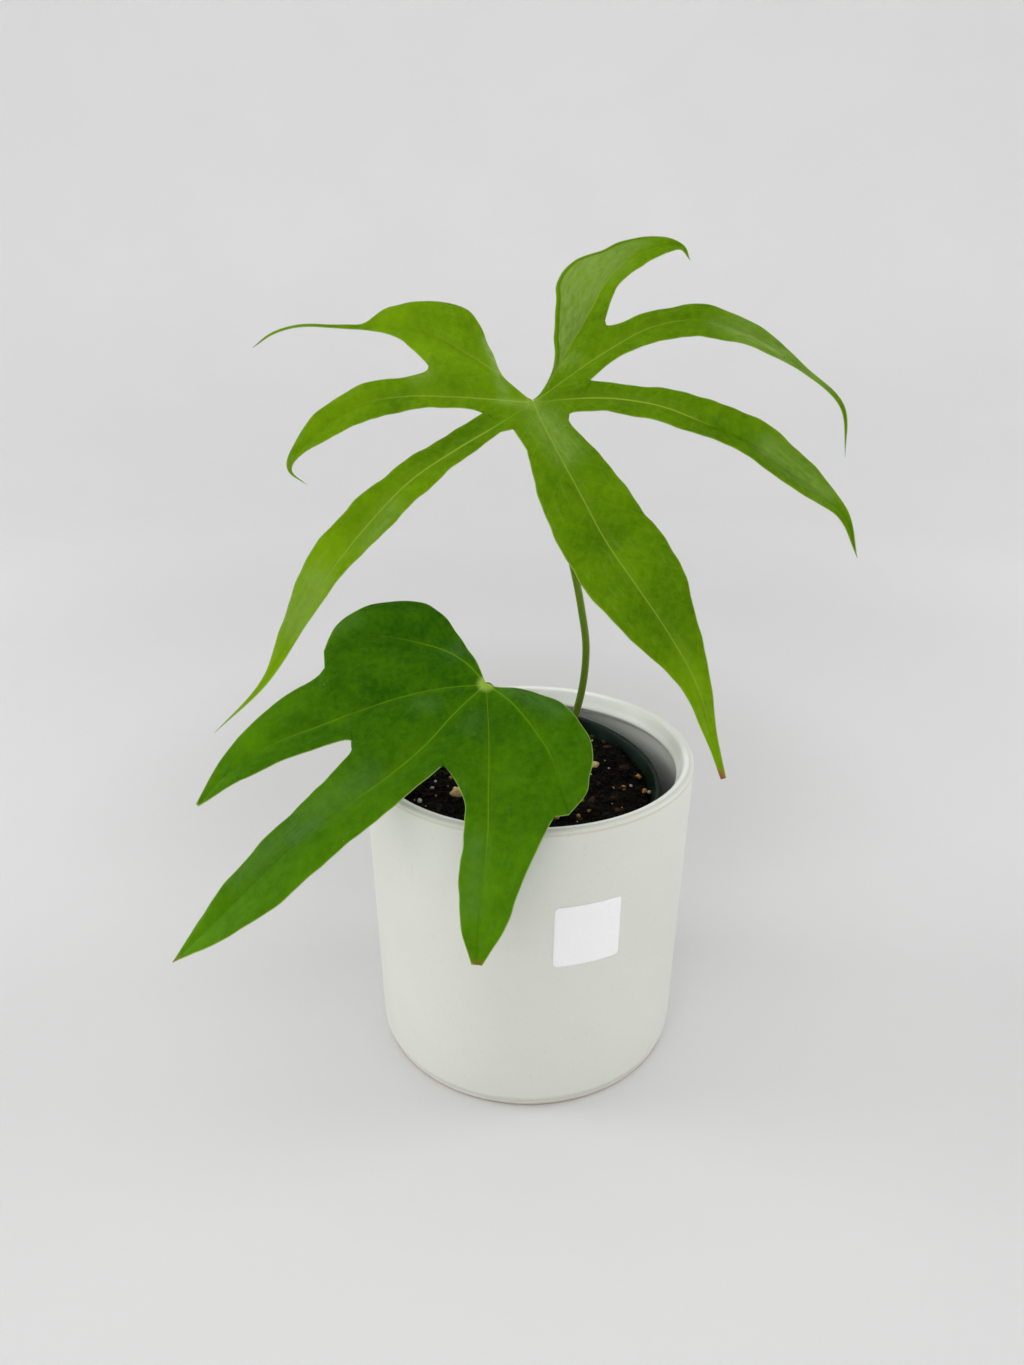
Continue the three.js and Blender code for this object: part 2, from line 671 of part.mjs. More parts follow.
const plant = new THREE.Group();
plant.add(cachepot());
plant.add(nursery);
plant.add(stemCrown());
plant.add(petiole("petiole_upper", UPPER_PETIOLE, 40));
plant.add(petiole("petiole_lower", LOWER_PETIOLE, 20));
plant.add(leafBlade("leaf_upper", UPPER_LEAF, FRESH_GREEN));
plant.add(leafBlade("leaf_lower", LOWER_LEAF, DARK_GREEN));
plant.add(blankLabel());

export default plant;
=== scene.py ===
"""A young anthurium with two lobed leaves, in a nursery pot that stands in a white cachepot.

Sizes are in millimetres up to the moment that a mesh is made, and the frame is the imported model's.
"""

import math
import random

import bmesh
import bpy
from mathutils import Euler, Matrix, Vector, noise
from mathutils.kdtree import KDTree


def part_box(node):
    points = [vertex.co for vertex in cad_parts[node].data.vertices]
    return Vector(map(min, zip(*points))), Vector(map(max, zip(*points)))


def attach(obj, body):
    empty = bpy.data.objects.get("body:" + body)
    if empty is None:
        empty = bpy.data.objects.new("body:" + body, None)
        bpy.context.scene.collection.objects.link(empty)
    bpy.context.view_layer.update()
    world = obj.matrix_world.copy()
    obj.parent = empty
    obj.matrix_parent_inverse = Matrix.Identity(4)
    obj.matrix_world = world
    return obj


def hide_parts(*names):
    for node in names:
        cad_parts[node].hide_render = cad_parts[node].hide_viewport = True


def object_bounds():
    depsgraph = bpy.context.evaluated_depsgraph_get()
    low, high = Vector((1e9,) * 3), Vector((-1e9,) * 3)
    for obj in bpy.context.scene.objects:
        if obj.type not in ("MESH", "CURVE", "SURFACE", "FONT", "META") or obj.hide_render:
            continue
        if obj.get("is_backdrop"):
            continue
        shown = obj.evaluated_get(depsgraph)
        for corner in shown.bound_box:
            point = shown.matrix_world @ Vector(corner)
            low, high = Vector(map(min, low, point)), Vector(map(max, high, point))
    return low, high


MM = 0.001
BODY = "root"

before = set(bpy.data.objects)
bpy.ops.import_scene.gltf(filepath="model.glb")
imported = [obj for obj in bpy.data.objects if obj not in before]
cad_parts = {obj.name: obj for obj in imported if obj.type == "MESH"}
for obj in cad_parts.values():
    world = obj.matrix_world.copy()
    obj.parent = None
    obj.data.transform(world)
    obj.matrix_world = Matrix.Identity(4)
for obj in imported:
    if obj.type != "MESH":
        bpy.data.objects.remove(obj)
cad_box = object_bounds()


def node_box(node):
    """The CAD node's lowest and highest corner in millimetres."""
    low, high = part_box(node)
    return low / MM, high / MM


# Camera, fitted to the pot's rim and foot in the photograph
CAMERA_PLACE = Vector((-6.3, -353, 285))
CAMERA_PITCH = math.radians(22.1)  # below the horizon
CAMERA_ROLL = math.radians(0.27)
FOCAL_LENGTH_PIXELS = 1066
IMAGE_HEIGHT_PIXELS = 1365
LIGHTS_AIM = Vector((0, 0, 150))

# Cachepot
POT_HIGH = node_box("cachepot")[1]
POT_HEIGHT = POT_HIGH.z
POT_RIM_RADIUS = POT_HIGH.x
POT_FOOT_RADIUS = POT_RIM_RADIUS - 5
POT_BODY_LOW_RADIUS = POT_RIM_RADIUS - 3.3
POT_MOUTH_RADIUS = POT_RIM_RADIUS - 4
POT_WALL = 3.4
POT_FLOOR = 5
POT_SEGMENTS = 256
RIM_STEP = POT_HEIGHT - 6.7  # foot of the thicker band inside the rim
RIM_LIFT = 1.5  # of the rim's back, which isn't quite level

# Nursery pot, which leans a little
NURSERY_HEIGHT = 97.5
NURSERY_RIM_RADIUS = 51.3
NURSERY_BASE_RADIUS = 38
NURSERY_WALL = 1.2
NURSERY_FLOOR = 2.4
NURSERY_RIM_CENTRE = Vector((-2.2, 0, 106.5))
NURSERY_LEAN_FORWARD = math.radians(5)
NURSERY_LEAN_RIGHT = math.radians(4.5)
NURSERY_SEGMENTS = 160

# Potting mix
MIX_LEVEL = NURSERY_HEIGHT - 5
MIX_SEED = 11

FIBRES = 130

# Bits of the mix: the name of each finish, its pale and its deep colour, grain and roughness
BITS = {
    "crumbs": ("peat_crumb", (36, 27, 18), (8, 7, 5), 500, 0.85),
    "bark": ("bark_chip", (76, 54, 34), (16, 12, 8), 400, 0.75),
    "perlite": ("perlite_grain", (226, 202, 150), (172, 138, 92), 500, 0.8),
    "grit": ("grey_grit", (206, 202, 192), (120, 118, 116), 600, 0.6),
    "husk": ("tan_husk", (186, 142, 72), (112, 78, 38), 500, 0.7),
}

# Loose bits that a seeded rule places: their kind, how many, sizes, widths, depths, tints and the
# power that those are raised to, how far they rise, how fine they are and how rough
LOOSE_BITS = (
    ("crumbs", 900, (0.45, 1.25), (0.55, 1), (0.5, 0.9), (0, 0.5), 1, 0.05, 2, 0.5),
    ("bark", 170, (0.9, 2.6), (0.3, 0.65), (0.18, 0.4), (0, 0.75), 1.6, 0.12, 2, 0.4),
    (None, 18, (0.25, 0.55), (0.7, 1), (0.6, 0.9), (0.2, 0.9), 1, 0.3, 3, 0.35),
)
PERLITE_SHARE = 0.45  # of the third row, whose other bits are grit

# Stem crown
CROWN_FOOT = Vector((7, 6, 78))
CROWN_RADIUS = 4.6
CROWN_HEIGHT = 28
CROWN_KNOTS = (10, 17, 22)

# Leaf blades
BLADE_THICKNESS = 0.5
ROWS_PER_STEP = 8  # fine rows for each row that the sinuses count
STEPS = 14  # from the junction to a lobe's tip
LATERAL_SPACING = 7.5  # between side veins along a rib
VEIN_SLANT = 0.75  # how far a side vein runs toward the tip for each millimetre from the rib
VEIN_BEND = 0.02
MARGIN_WAVES = ((0.22, 2.7), (0.1, 1.2), (0.4, 3.6))  # height and length: two outward, one upward
KNOB_HEIGHT = 0.8  # where the ribs meet
PETIOLE_RADIUS = 1.38
SEAM_MM = 99  # given as the distance from the margin where two lobes are grown together
ANY_PHASE = 6.28  # one full turn

# Greens of each face of the blades: deep, fresh, side veins, margin and painted sheen
FRESH_GREENS = (74, 113, 0), (118, 159, 4), (146, 180, 52), (150, 182, 78), (140, 168, 84)
FRESH_UNDER_GREENS = (96, 146, 44), (126, 172, 66), (160, 194, 104), (150, 190, 84), (150, 180, 110)
DARK_GREENS = (38, 85, 0), (84, 134, 4), (102, 148, 16), (172, 196, 104), (98, 134, 76)
DARK_UNDER_GREENS = (78, 124, 46), (102, 150, 60), (136, 176, 84), (150, 186, 80), (120, 156, 96)

# Label
LABEL_SIDE = 24
LABEL_HEIGHT = 74  # of its middle above the underside
LABEL_TURN = math.radians(19.4)  # of its middle, from the front to the right


# Leaf shapes, as in the CAD source but for a few widths. Each lobe has a rib from the junction to
# its tip and its half-widths at the points between: "before" on the side of the lobe listed before
# it, "after" on the other. "fold" is how far the halves rise from the rib, in degrees. Neighbouring
# lobes grow together as far as the sinus between them, which opens at a share "opens" of each rib.
# "drawn" is the strength of the rib's line at its foot and further on, and the shares where it
# fades and ends. "panel" is the side of a painted sheen panel beside the rib, the shares where it
# lies and its strength.
# A sinus has its place and the step where it lies, and a third value if its edges run on straight.
# "tone", "sheen" and "dry" are soft patches, of which "sheen" is painted sheen, and "lighter" is a
# ramp from one place to another.
def lobe(rib, before, after, fold, opens, drawn, blunt=0, panel=None):
    return locals()


UPPER_LOBES = [
    lobe(
        [(-10.5, -4, 248), (-23, 3, 255), (-35, 8, 260.5), (-48, 10, 262),
         (-61, 10, 261.5), (-74, 8, 262), (-83, 6, 260), (-90, 4, 255.5)],
        before=[0, 0.7, 5.2, 10.4, 12.2, 10.4, 8.2, 6, 1.1, 0.9, 0.7, 0.6, 0.5, 0.5, 0.4],
        after=[5, 11, 9.2, 3.4, 0.8, 0.5, 0.5],
        fold=14, opens=(None, 0.33), drawn=(0.5, 0.4, 0.15, 0.5),
    ),
    lobe(
        [(-13.5, -10, 241.5), (-27, -9, 242), (-40.5, -9, 242), (-53.5, -11, 240),
         (-64, -17, 234.5), (-72, -24, 227.5), (-74, -28, 222.5), (-69, -30, 218.5)],
        before=[4, 6.2, 6.5, 5.8, 5, 2.3, 0.9],
        after=[4, 4.4, 6, 7.3, 5.6, 2, 0.4],
        fold=12, opens=(0.3, 0.17), drawn=(0.8, 0.6, 0.3, 0.6),
    ),
    lobe(
        [(-11.5, -15, 234), (-24, -21, 227.5), (-37.5, -29, 219.5), (-49.5, -39, 208.5),
         (-60, -50, 196.5), (-69, -60, 183), (-77.8, -68, 168.6), (-92.3, -73.5, 155.2)],
        before=[5.3, 5.5, 6.1, 7.9, 8.1, 4.4, 1.3],
        after=[2.8, 4.5, 6.5, 6.1, 3.7, 2.4, 0.8],
        fold=12, opens=(0.11, 0.09), drawn=(0.3, 0.85, 0.55, 0.85),
    ),
    lobe(
        [(5.5, -20, 230.5), (13.5, -32, 217.5), (21.5, -43, 204.5), (30, -54, 194),
         (38.5, -63, 183), (46, -70, 171), (51, -76, 157), (54.6, -79.3, 144.3)],
        before=[8.2, 13.1, 14.4, 14.2, 10.4, 5.2, 2.6],
        after=[7.9, 12.2, 14.4, 14.5, 9.5, 4.6, 1.4],
        fold=12, opens=(0.06, 0.1), drawn=(0.55, 0.6, 0.75, 0.95), blunt=0.8,
    ),
    lobe(
        [(12, -9, 241.5), (25.5, -8, 241.5), (40, -10, 239.5), (53.5, -14, 235),
         (67, -20, 230), (80, -28, 221), (93, -36, 211.8), (98, -40, 199)],
        before=[5.5, 6.2, 7.2, 5.8, 5.6, 5, 2.6],
        after=[6, 4.8, 5.9, 7.5, 7.5, 6.3, 1.8],
        fold=18, opens=(0.1, 0.155), drawn=(0.4, 1, 0.42, 0.56),
    ),
    lobe(
        [(11, -4, 247.5), (23.5, 2, 255), (38.5, 8, 262), (55, 10, 264),
         (71.5, 7, 259.5), (86, -1, 250), (97.2, -9, 239.7), (99, -13, 224.5)],
        before=[6, 4.9, 7.3, 8.5, 6.1, 1.5, 0.9],
        after=[6, 5.5, 5.1, 5.1, 3.4, 1.2, 0.8],
        fold=18, opens=(0.135, 0.26), drawn=(0.7, 0.75, 0.25, 0.62),
    ),
    lobe(
        [(6.5, -2, 248), (12, 5, 256.5), (18, 12, 265.5), (23.5, 18, 275),
         (32.5, 23, 283.5), (42.5, 26, 286.5), (49, 26, 286), (51.5, 23, 282)],
        before=[4, 6, 5.6, 4.6, 6.1, 4.2, 1.7],
        after=[0.2, 1, 2.8, 6, 9.5, 12.1, 13.9, 12.6, 7.6, 5.8, 4.3, 3, 1.8, 0.9, 0.4],
        fold=14, opens=(0.4, None), drawn=(0.3, 0.85, 0.5, 0.75),
        panel=(-1, 0.1, 0.76, 0.64),
    ),
]

UPPER_LEAF = {
    "facing": (0, -0.77, 0.64),
    "junction": (0, -10, 240.5),
    "lighter": ((60, 0, 0), (-60, 0, 0), 0.25, 0.6),
    "tone": [
        ((8, -30, 221), (33, -58, 190), 13, -0.22), ((25, -47, 201), (28, -50, 198), 5, 0.22),
        ((45, -71, 170), (54, -79, 145), 8, 0.5), ((-45, 11, 264), (-48, 11, 264), 6, 0.4),
        ((-37, 1, 255), (-30, 0, 253), 6, 0.3), ((-19, -17, 233), (-34, -24, 226), 6, -0.3),
        ((-42, -10, 241), (-44, -12, 240), 5, -0.3), ((-60, -47, 200), (-85, -72, 160), 8, 0.4),
        ((17, 0, 252), (23, 5, 258), 5, 0.2), ((-17, -3, 249), (-6, -8, 243), 5, 0.2),
        ((20, 18, 276), (36, 23, 284), 9, 0.45), ((62, -18, 232), (78, -28, 222), 9, -0.15),
    ],
    "sheen": [
        ((24, 20, 279), (28, 21, 281), 4, 0.35), ((10, 0, 250), (13, 1, 252), 2.3, 0.7),
        ((66, 8, 261), (90, -3, 247), 7, 0.42), ((57, 9, 263), (80, 2, 255), 1.4, 0.4),
        ((72, -22, 229), (88, -32, 217), 4, 0.4), ((3, -15, 237), (10, -24, 228), 4.5, 0.45),
        ((-15.5, 3, 258.5), (-11, -4, 249), 1.3, 0.8), ((-11, -6, 246), (-9, -8, 244), 1.6, 0.5),
        ((-2, -11, 240), (-10, -10, 241), 1.6, 0.45), ((-37, -5, 248), (-34, -5, 248), 3, 0.3),
        ((-64, -52, 194), (-70, -60, 184), 5, 0.45), ((-42, -35, 213), (-50, -46, 202), 3, 0.3),
    ],
    "dry": [((53, -79, 145.5), (55, -80, 143.5), 1.6, 1.1), ((-89, 4, 256), (-91, 3, 255), 3, 0.6)],
    "sinuses": [
        ((-33, -5, 251), 5), ((-17, -13, 238.2), 2), ((-6.3, -17.2, 233.4), 1, False),
        ((11, -15, 236.6), 2), ((18, -7, 247), 3), ((23, 7, 264), 5),
    ],
    "lobes": UPPER_LOBES,
}

LOWER_LOBES = [
    lobe(
        [(-21.5, -14, 154), (-29, -9, 156.8), (-38, -6, 158.5), (-49, -4, 160),
         (-60, -5, 160.5), (-71, -10, 157)],
        before=[1.7, 3.4, 4.9, 7.6, 12, 14.8, 16, 15.2, 13.3, 10, 6.4],
        after=[4, 8, 11, 10, 6],
        fold=8, opens=(None, 0.95), drawn=(0.8, 0.7, 0.35, 0.95),
    ),
    lobe(
        [(-29.5, -21, 148), (-43, -24, 146), (-57, -28, 142.5), (-70, -33, 139),
         (-82.5, -39, 136), (-95, -47, 131), (-105.5, -56, 122)],
        before=[8, 13, 17, 17.4, 12.7, 6],
        after=[6, 10, 11, 9.7, 9.2, 7.1],
        fold=8, opens=(0.5, 0.46), drawn=(0.85, 0.75, 0.6, 0.95), blunt=0.7,
    ),
    lobe(
        [(-25, -29, 142.5), (-35, -40, 135), (-47, -51, 128.5), (-58.5, -61, 124),
         (-69.5, -70, 119), (-81, -79, 111), (-92.5, -87, 101.5), (-106.5, -92, 89)],
        before=[8, 14, 15, 11.3, 8.8, 7.6, 5.4],
        after=[6, 11, 11.3, 13, 13.8, 13.5, 8.6],
        fold=10, opens=(0.37, 0.27), drawn=(0.9, 0.9, 0.35, 0.6),
    ),
    lobe(
        [(-14, -32, 140.5), (-13.5, -45, 133), (-13.5, -57, 125.5), (-13.5, -68, 118.5),
         (-14.5, -78, 109), (-16, -85, 98), (-16.4, -89.5, 86.8)],
        before=[7, 11, 7.6, 7.4, 7.6, 5.5],
        after=[8, 15, 20, 17.4, 12.4, 8.8],
        fold=10, opens=(0.36, 0.58), drawn=(0.9, 0.8, 0.5, 0.95), blunt=1.7,
    ),
    lobe(
        [(-7, -27, 146), (0.5, -36, 140.5), (6.5, -46, 134.5), (9, -55, 128.5),
         (11.5, -62, 122.5)],
        before=[5, 9, 11, 8],
        after=[2.2, 6.4, 10, 12.8, 13.8, 13.5, 11.9, 9.8, 7],
        fold=6, opens=(0.93, None), drawn=(0.85, 0.7, 0.45, 0.9),
    ),
]

LOWER_LEAF = {
    "facing": (-0.15, -0.5, 0.85),
    "junction": (-15, -20, 149),
    "lighter": ((0, 0, 160), (0, 0, 98), 0.08, 0.85),
    "tone": [
        ((-40, 3, 166), (-55, 3, 166), 5, 0.3), ((-62, 2, 165), (-70, -6, 160), 5, 0.4),
        ((-52, -15, 156), (-58, -14, 156), 6, 0.3), ((-17, -33, 140), (-12, -38, 137), 8, -0.2),
        ((-78, -22, 147), (-92, -37, 138), 6, 0.35),
        ((-92, -40, 135), (-100, -50, 127), 7, 0.25), ((-12, -44, 134), (-9, -50, 131), 6, 0.1),
        ((7, -40, 139), (8, -52, 131), 5, 0.15), ((-58, -50, 129), (-66, -56, 125), 5, 0.2),
    ],
    "sheen": [
        ((-63, 1, 165), (-67, -1, 163), 4, 0.2), ((-22, -8, 158), (-26, -10, 157), 4, 0.2),
        ((-33, -27, 144), (-37, -27, 144), 3, 0.25), ((-18, -31, 141), (-20, -36, 139), 3, 0.2),
        ((-52, -51, 131), (-88, -79, 112), 4.5, 0.24), ((-66, -66, 121), (-72, -70, 118), 2, 0.3),
        ((-8, -22, 149), (9, -33, 145), 3, 0.3),
        ((-17, -70, 117), (-18, -82, 101), 3, 0.25),
    ],
    "dry": [
        ((-16.5, -90, 87), (-15.5, -90.3, 86.6), 1.2, 1),
        ((-106, -92, 89.5), (-107, -92, 89), 1.5, 0.7),
    ],
    "sinuses": [
        ((-70, -16, 153), 11), ((-58, -42.5, 136.3), 6), ((-28, -49, 133), 4), ((7, -64, 123), 9),
    ],
    "lobes": LOWER_LOBES,
}

UPPER_PETIOLE = [
    (7.5, 6, 99), (12, 8, 113), (17.2, 9.5, 125), (20, 11, 138), (20.5, 11, 152),
    (18.4, 10, 166), (15.5, 8, 180), (10.8, 5, 199), (5.2, 0, 221), (1.2, -7, 237), (0, -9.4, 240),
]

LOWER_PETIOLE = [
    (5.5, 4.5, 99), (3, 2.5, 112), (-2, -3, 125), (-8.5, -10.5, 138), (-13.2, -16.8, 146),
    (-14.9, -19.7, 148.3),
]

# Grains that the photograph shows on the mix: place on its top, radius and kind
GRAINS = [
    (-23.5, -14.1, 2.5, "perlite"), (-32.7, -8.1, 0.7, "grit"), (-26.5, -0.4, 0.7, "husk"),
    (-36.5, -17.9, 0.9, "grit"), (-38.6, -16.8, 0.5, "grit"), (-31, -13.1, 0.5, "husk"),
    (28.2, 15, 1.7, "perlite"), (33.9, 14.7, 0.5, "grit"), (26.7, 10.3, 0.6, "perlite"),
    (44.9, 9.8, 1.2, "husk"), (34.5, 1.6, 0.7, "husk"), (38.5, 2, 1.2, "husk"),
    (41.5, 4.3, 0.6, "grit"), (46.2, 0.3, 1.1, "husk"), (47.8, -0.3, 0.7, "grit"),
    (24.2, -16.2, 0.7, "husk"), (20.2, -19.8, 0.9, "husk"), (22, -10, 0.8, "husk"),
    (12.5, -21, 1.3, "perlite"), (31.6, 11, 0.4, "husk"), (28.5, 35.4, 1.2, "bark"),
    (34.6, -15.7, 1.2, "bark"), (33, 32.2, 1, "bark"), (-8, 14, 1.5, "perlite"),
    (-18, 30, 1.2, "husk"), (6, 34, 1, "perlite"),
]


# Meshes
def link(thing):
    bpy.context.scene.collection.objects.link(thing)
    return thing


def shown(name, mesh, slot, replaced, *looks):
    """A piece of the object: it rides on the one body. The slot argument is not used."""
    for look in looks:
        mesh.materials.append(look)
    thing = link(bpy.data.objects.new(name, mesh))
    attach(thing, BODY)
    if replaced:
        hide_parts(replaced)


def mesh_from(name, points, faces):
    """A smooth mesh from points in millimetres."""
    mesh = bpy.data.meshes.new(name)
    mesh.from_pydata([Vector(point) * MM for point in points], [], faces)
    mesh.validate()
    mesh.shade_smooth()
    return mesh


def arc(centre, radius, start, end, steps):
    """Profile points on an arc, from one angle to another in degrees."""
    points = []
    for step in range(steps + 1):
        angle = math.radians(start + (end - start) * step / steps)
        points.append((centre[0] + radius * math.cos(angle), centre[1] + radius * math.sin(angle)))
    return points


def around(count, offset=0):
    """Directions spread evenly about Z, each as its x and y."""
    angles = [2 * math.pi * (step + offset) / count for step in range(count)]
    return [(math.cos(angle), math.sin(angle)) for angle in angles]


def capped(rings, foot, top):
    """Points and faces of a skin over rings of points, closed at its foot and its top."""
    sides = len(rings[0])
    points = [point for ring in rings for point in ring] + [foot, top]
    foot_index, top_index = len(points) - 2, len(points) - 1
    last_ring = foot_index - sides
    faces = []
    for side in range(sides):
        after = (side + 1) % sides
        faces.append((foot_index, after, side))
        for low in range(0, last_ring, sides):
            high = low + sides
            faces.append((low + side, low + after, high + after, high + side))
        faces.append((top_index, last_ring + side, last_ring + after))
    return points, faces


def revolved(profile, segments, change=None):
    """Points and faces of a profile that runs from the axis to the axis, turned about Z."""
    turns = around(segments)
    rings = []
    for radius, height in profile[1:-1]:
        ring = [(radius * x, radius * y, height) for x, y in turns]
        rings.append([change(*point) for point in ring] if change else ring)
    return capped(rings, (0, 0, profile[0][1]), (0, 0, profile[-1][1]))


def swept(route, radius_at, sides, rings):
    """Points and faces of a round rod along a smooth route; radius_at(share) gives its radius."""
    route = [Vector(point) for point in route]
    turns = around(sides)
    skin = []
    across = Vector((1, 0, 0))
    for ring in range(rings + 1):
        share = ring / rings
        along = heading(route, share, 0.01).normalized()
        across = (across - along * across.dot(along)).normalized()
        up = along.cross(across)
        centre, radius = between(route, share), radius_at(share)
        skin.append([centre + radius * (x * across + y * up) for x, y in turns])
    return capped(skin, between(route, 0), between(route, 1))


def sheet_faces(rows, columns):
    """Faces of a thin sheet: its points are a grid, row by row, and then the other side's grid."""
    wide = columns + 1
    count = wide * (rows + 1)
    faces = []
    for row in range(rows):
        for column in range(columns):
            a = row * wide + column
            b, c, d = a + 1, a + wide + 1, a + wide
            faces += [(a, b, c, d), (count + d, count + c, count + b, count + a)]
    rim = list(range(columns))
    rim += [row * wide + columns for row in range(rows)]
    rim += [rows * wide + column for column in range(columns, 0, -1)]
    rim += [row * wide for row in range(rows, 0, -1)]
    faces += [(b, a, count + a, count + b) for a, b in zip(rim, rim[1:] + rim[:1])]
    return faces


def add_shape(points, faces, shape):
    """Adds one shape's points and faces to those of a piece."""
    start = len(points)
    points += shape[0]
    faces += [[start + corner for corner in face] for face in shape[1]]


def between(values, share):
    """A smooth curve through evenly spread values."""
    last = len(values) - 1
    start = min(int(share * last), last - 1)
    b, c = values[start], values[start + 1]
    a = values[start - 1] if start > 0 else 2 * b - c
    d = values[start + 2] if start + 2 <= last else 2 * c - b
    f = share * last - start
    bend = 2 * a - 5 * b + 4 * c - d
    twist = 3 * b - a - 3 * c + d
    return b + 0.5 * ((c - a) * f + bend * f * f + twist * f * f * f)


def heading(values, share, reach):
    """The way that a smooth curve runs, from its points a little before and after a share."""
    return between(values, min(share + reach, 1)) - between(values, max(share - reach, 0))


def eased(value, low, high):
    """0 below low, 1 above high, and smooth between."""
    share = min(max((value - low) / (high - low), 0), 1)
    return share * share * (3 - 2 * share)


# Materials
def colour(red, green, blue):
    """A linear colour from values of 0 to 255 as seen on a screen."""
    linear = []
    for value in (red, green, blue):
        share = value / 255
        linear.append(share / 12.92 if share <= 0.04045 else ((share + 0.055) / 1.055) ** 2.4)
    return (*linear, 1)


class Look:
    """A Principled material, and short calls that add nodes and give back their output."""

    def __init__(self, name, specular):
        self.material = bpy.data.materials.new(name)
        self.material.use_nodes = True
        self.tree = self.material.node_tree
        self.shader = self.tree.nodes["Principled BSDF"]
        self.place = self.node("ShaderNodeTexCoord").outputs["Object"]
        self.set("Specular IOR Level", specular)

    def feed(self, socket, value):
        if isinstance(value, bpy.types.NodeSocket):
            self.tree.links.new(value, socket)
        elif value is not None:
            socket.default_value = value

    def node(self, kind, inputs=None, **settings):
        made = self.tree.nodes.new(kind)
        for setting, value in settings.items():
            setattr(made, setting, value)
        for socket, value in (inputs or {}).items():
            self.feed(made.inputs[socket], value)
        return made

    def set(self, socket, value):
        self.feed(self.shader.inputs[socket], value)

    def math(self, operation, a, b=None, clamp=False):
        made = self.node("ShaderNodeMath", {0: a, 1: b}, operation=operation, use_clamp=clamp)
        return made.outputs[0]

    def plus(self, a, b, clamp=False):
        return self.math("ADD", a, b, clamp)

    def minus(self, a, b):
        return self.math("SUBTRACT", a, b)

    def times(self, a, b, clamp=False):
        return self.math("MULTIPLY", a, b, clamp)

    def distance(self, x, y):
        """How far a place lies from the middle, from its two coordinates."""
        return self.math("SQRT", self.plus(self.times(x, x), self.times(y, y)))

    def mix(self, factor, a, b):
        made = self.node("ShaderNodeMix", {0: factor, 6: a, 7: b}, data_type="RGBA")
        return made.outputs[2]

    def blend(self, factor, a, b):
        made = self.node("ShaderNodeMix", {0: factor, 2: a, 3: b}, data_type="FLOAT")
        return made.outputs[0]

    def step(self, value, low, high, start=0.0, end=1.0):
        """A smooth change from start to end as the value goes from low to high."""
        inputs = {"Value": value, "From Min": low, "From Max": high, "To Min": start, "To Max": end}
        made = self.node("ShaderNodeMapRange", inputs, interpolation_type="SMOOTHSTEP")
        return made.outputs[0]

    def noise(self, scale, detail=2.0, roughness=0.5, place=None):
        inputs = {"Scale": scale, "Detail": detail, "Roughness": roughness}
        inputs["Vector"] = place or self.place
        return self.node("ShaderNodeTexNoise", inputs).outputs["Fac"]

    def cells(self, scale, feature="F1"):
        inputs = {"Vector": self.place, "Scale": scale}
        return self.node("ShaderNodeTexVoronoi", inputs, feature=feature).outputs["Distance"]

    def stretched(self, x, y, z):
        inputs = {"Vector": self.place, "Scale": (x, y, z)}
        return self.node("ShaderNodeMapping", inputs).outputs[0]

    def attribute(self, name):
        return self.node("ShaderNodeAttribute", attribute_name=name).outputs["Fac"]

    def coordinates(self):
        return self.node("ShaderNodeSeparateXYZ", {0: self.place}).outputs

    def bump(self, height, distance_mm, strength):
        inputs = {"Height": height, "Distance": distance_mm * MM, "Strength": strength}
        self.set("Normal", self.node("ShaderNodeBump", inputs).outputs[0])

    def paint(self, factor, a, b):
        """Sets the base colour to a mix of two."""
        self.set("Base Color", self.mix(factor, a, b))

    def roughen(self, value, low, high, start, end):
        """Sets the roughness from start to end as the value goes from low to high."""
        self.set("Roughness", self.step(value, low, high, start, end))


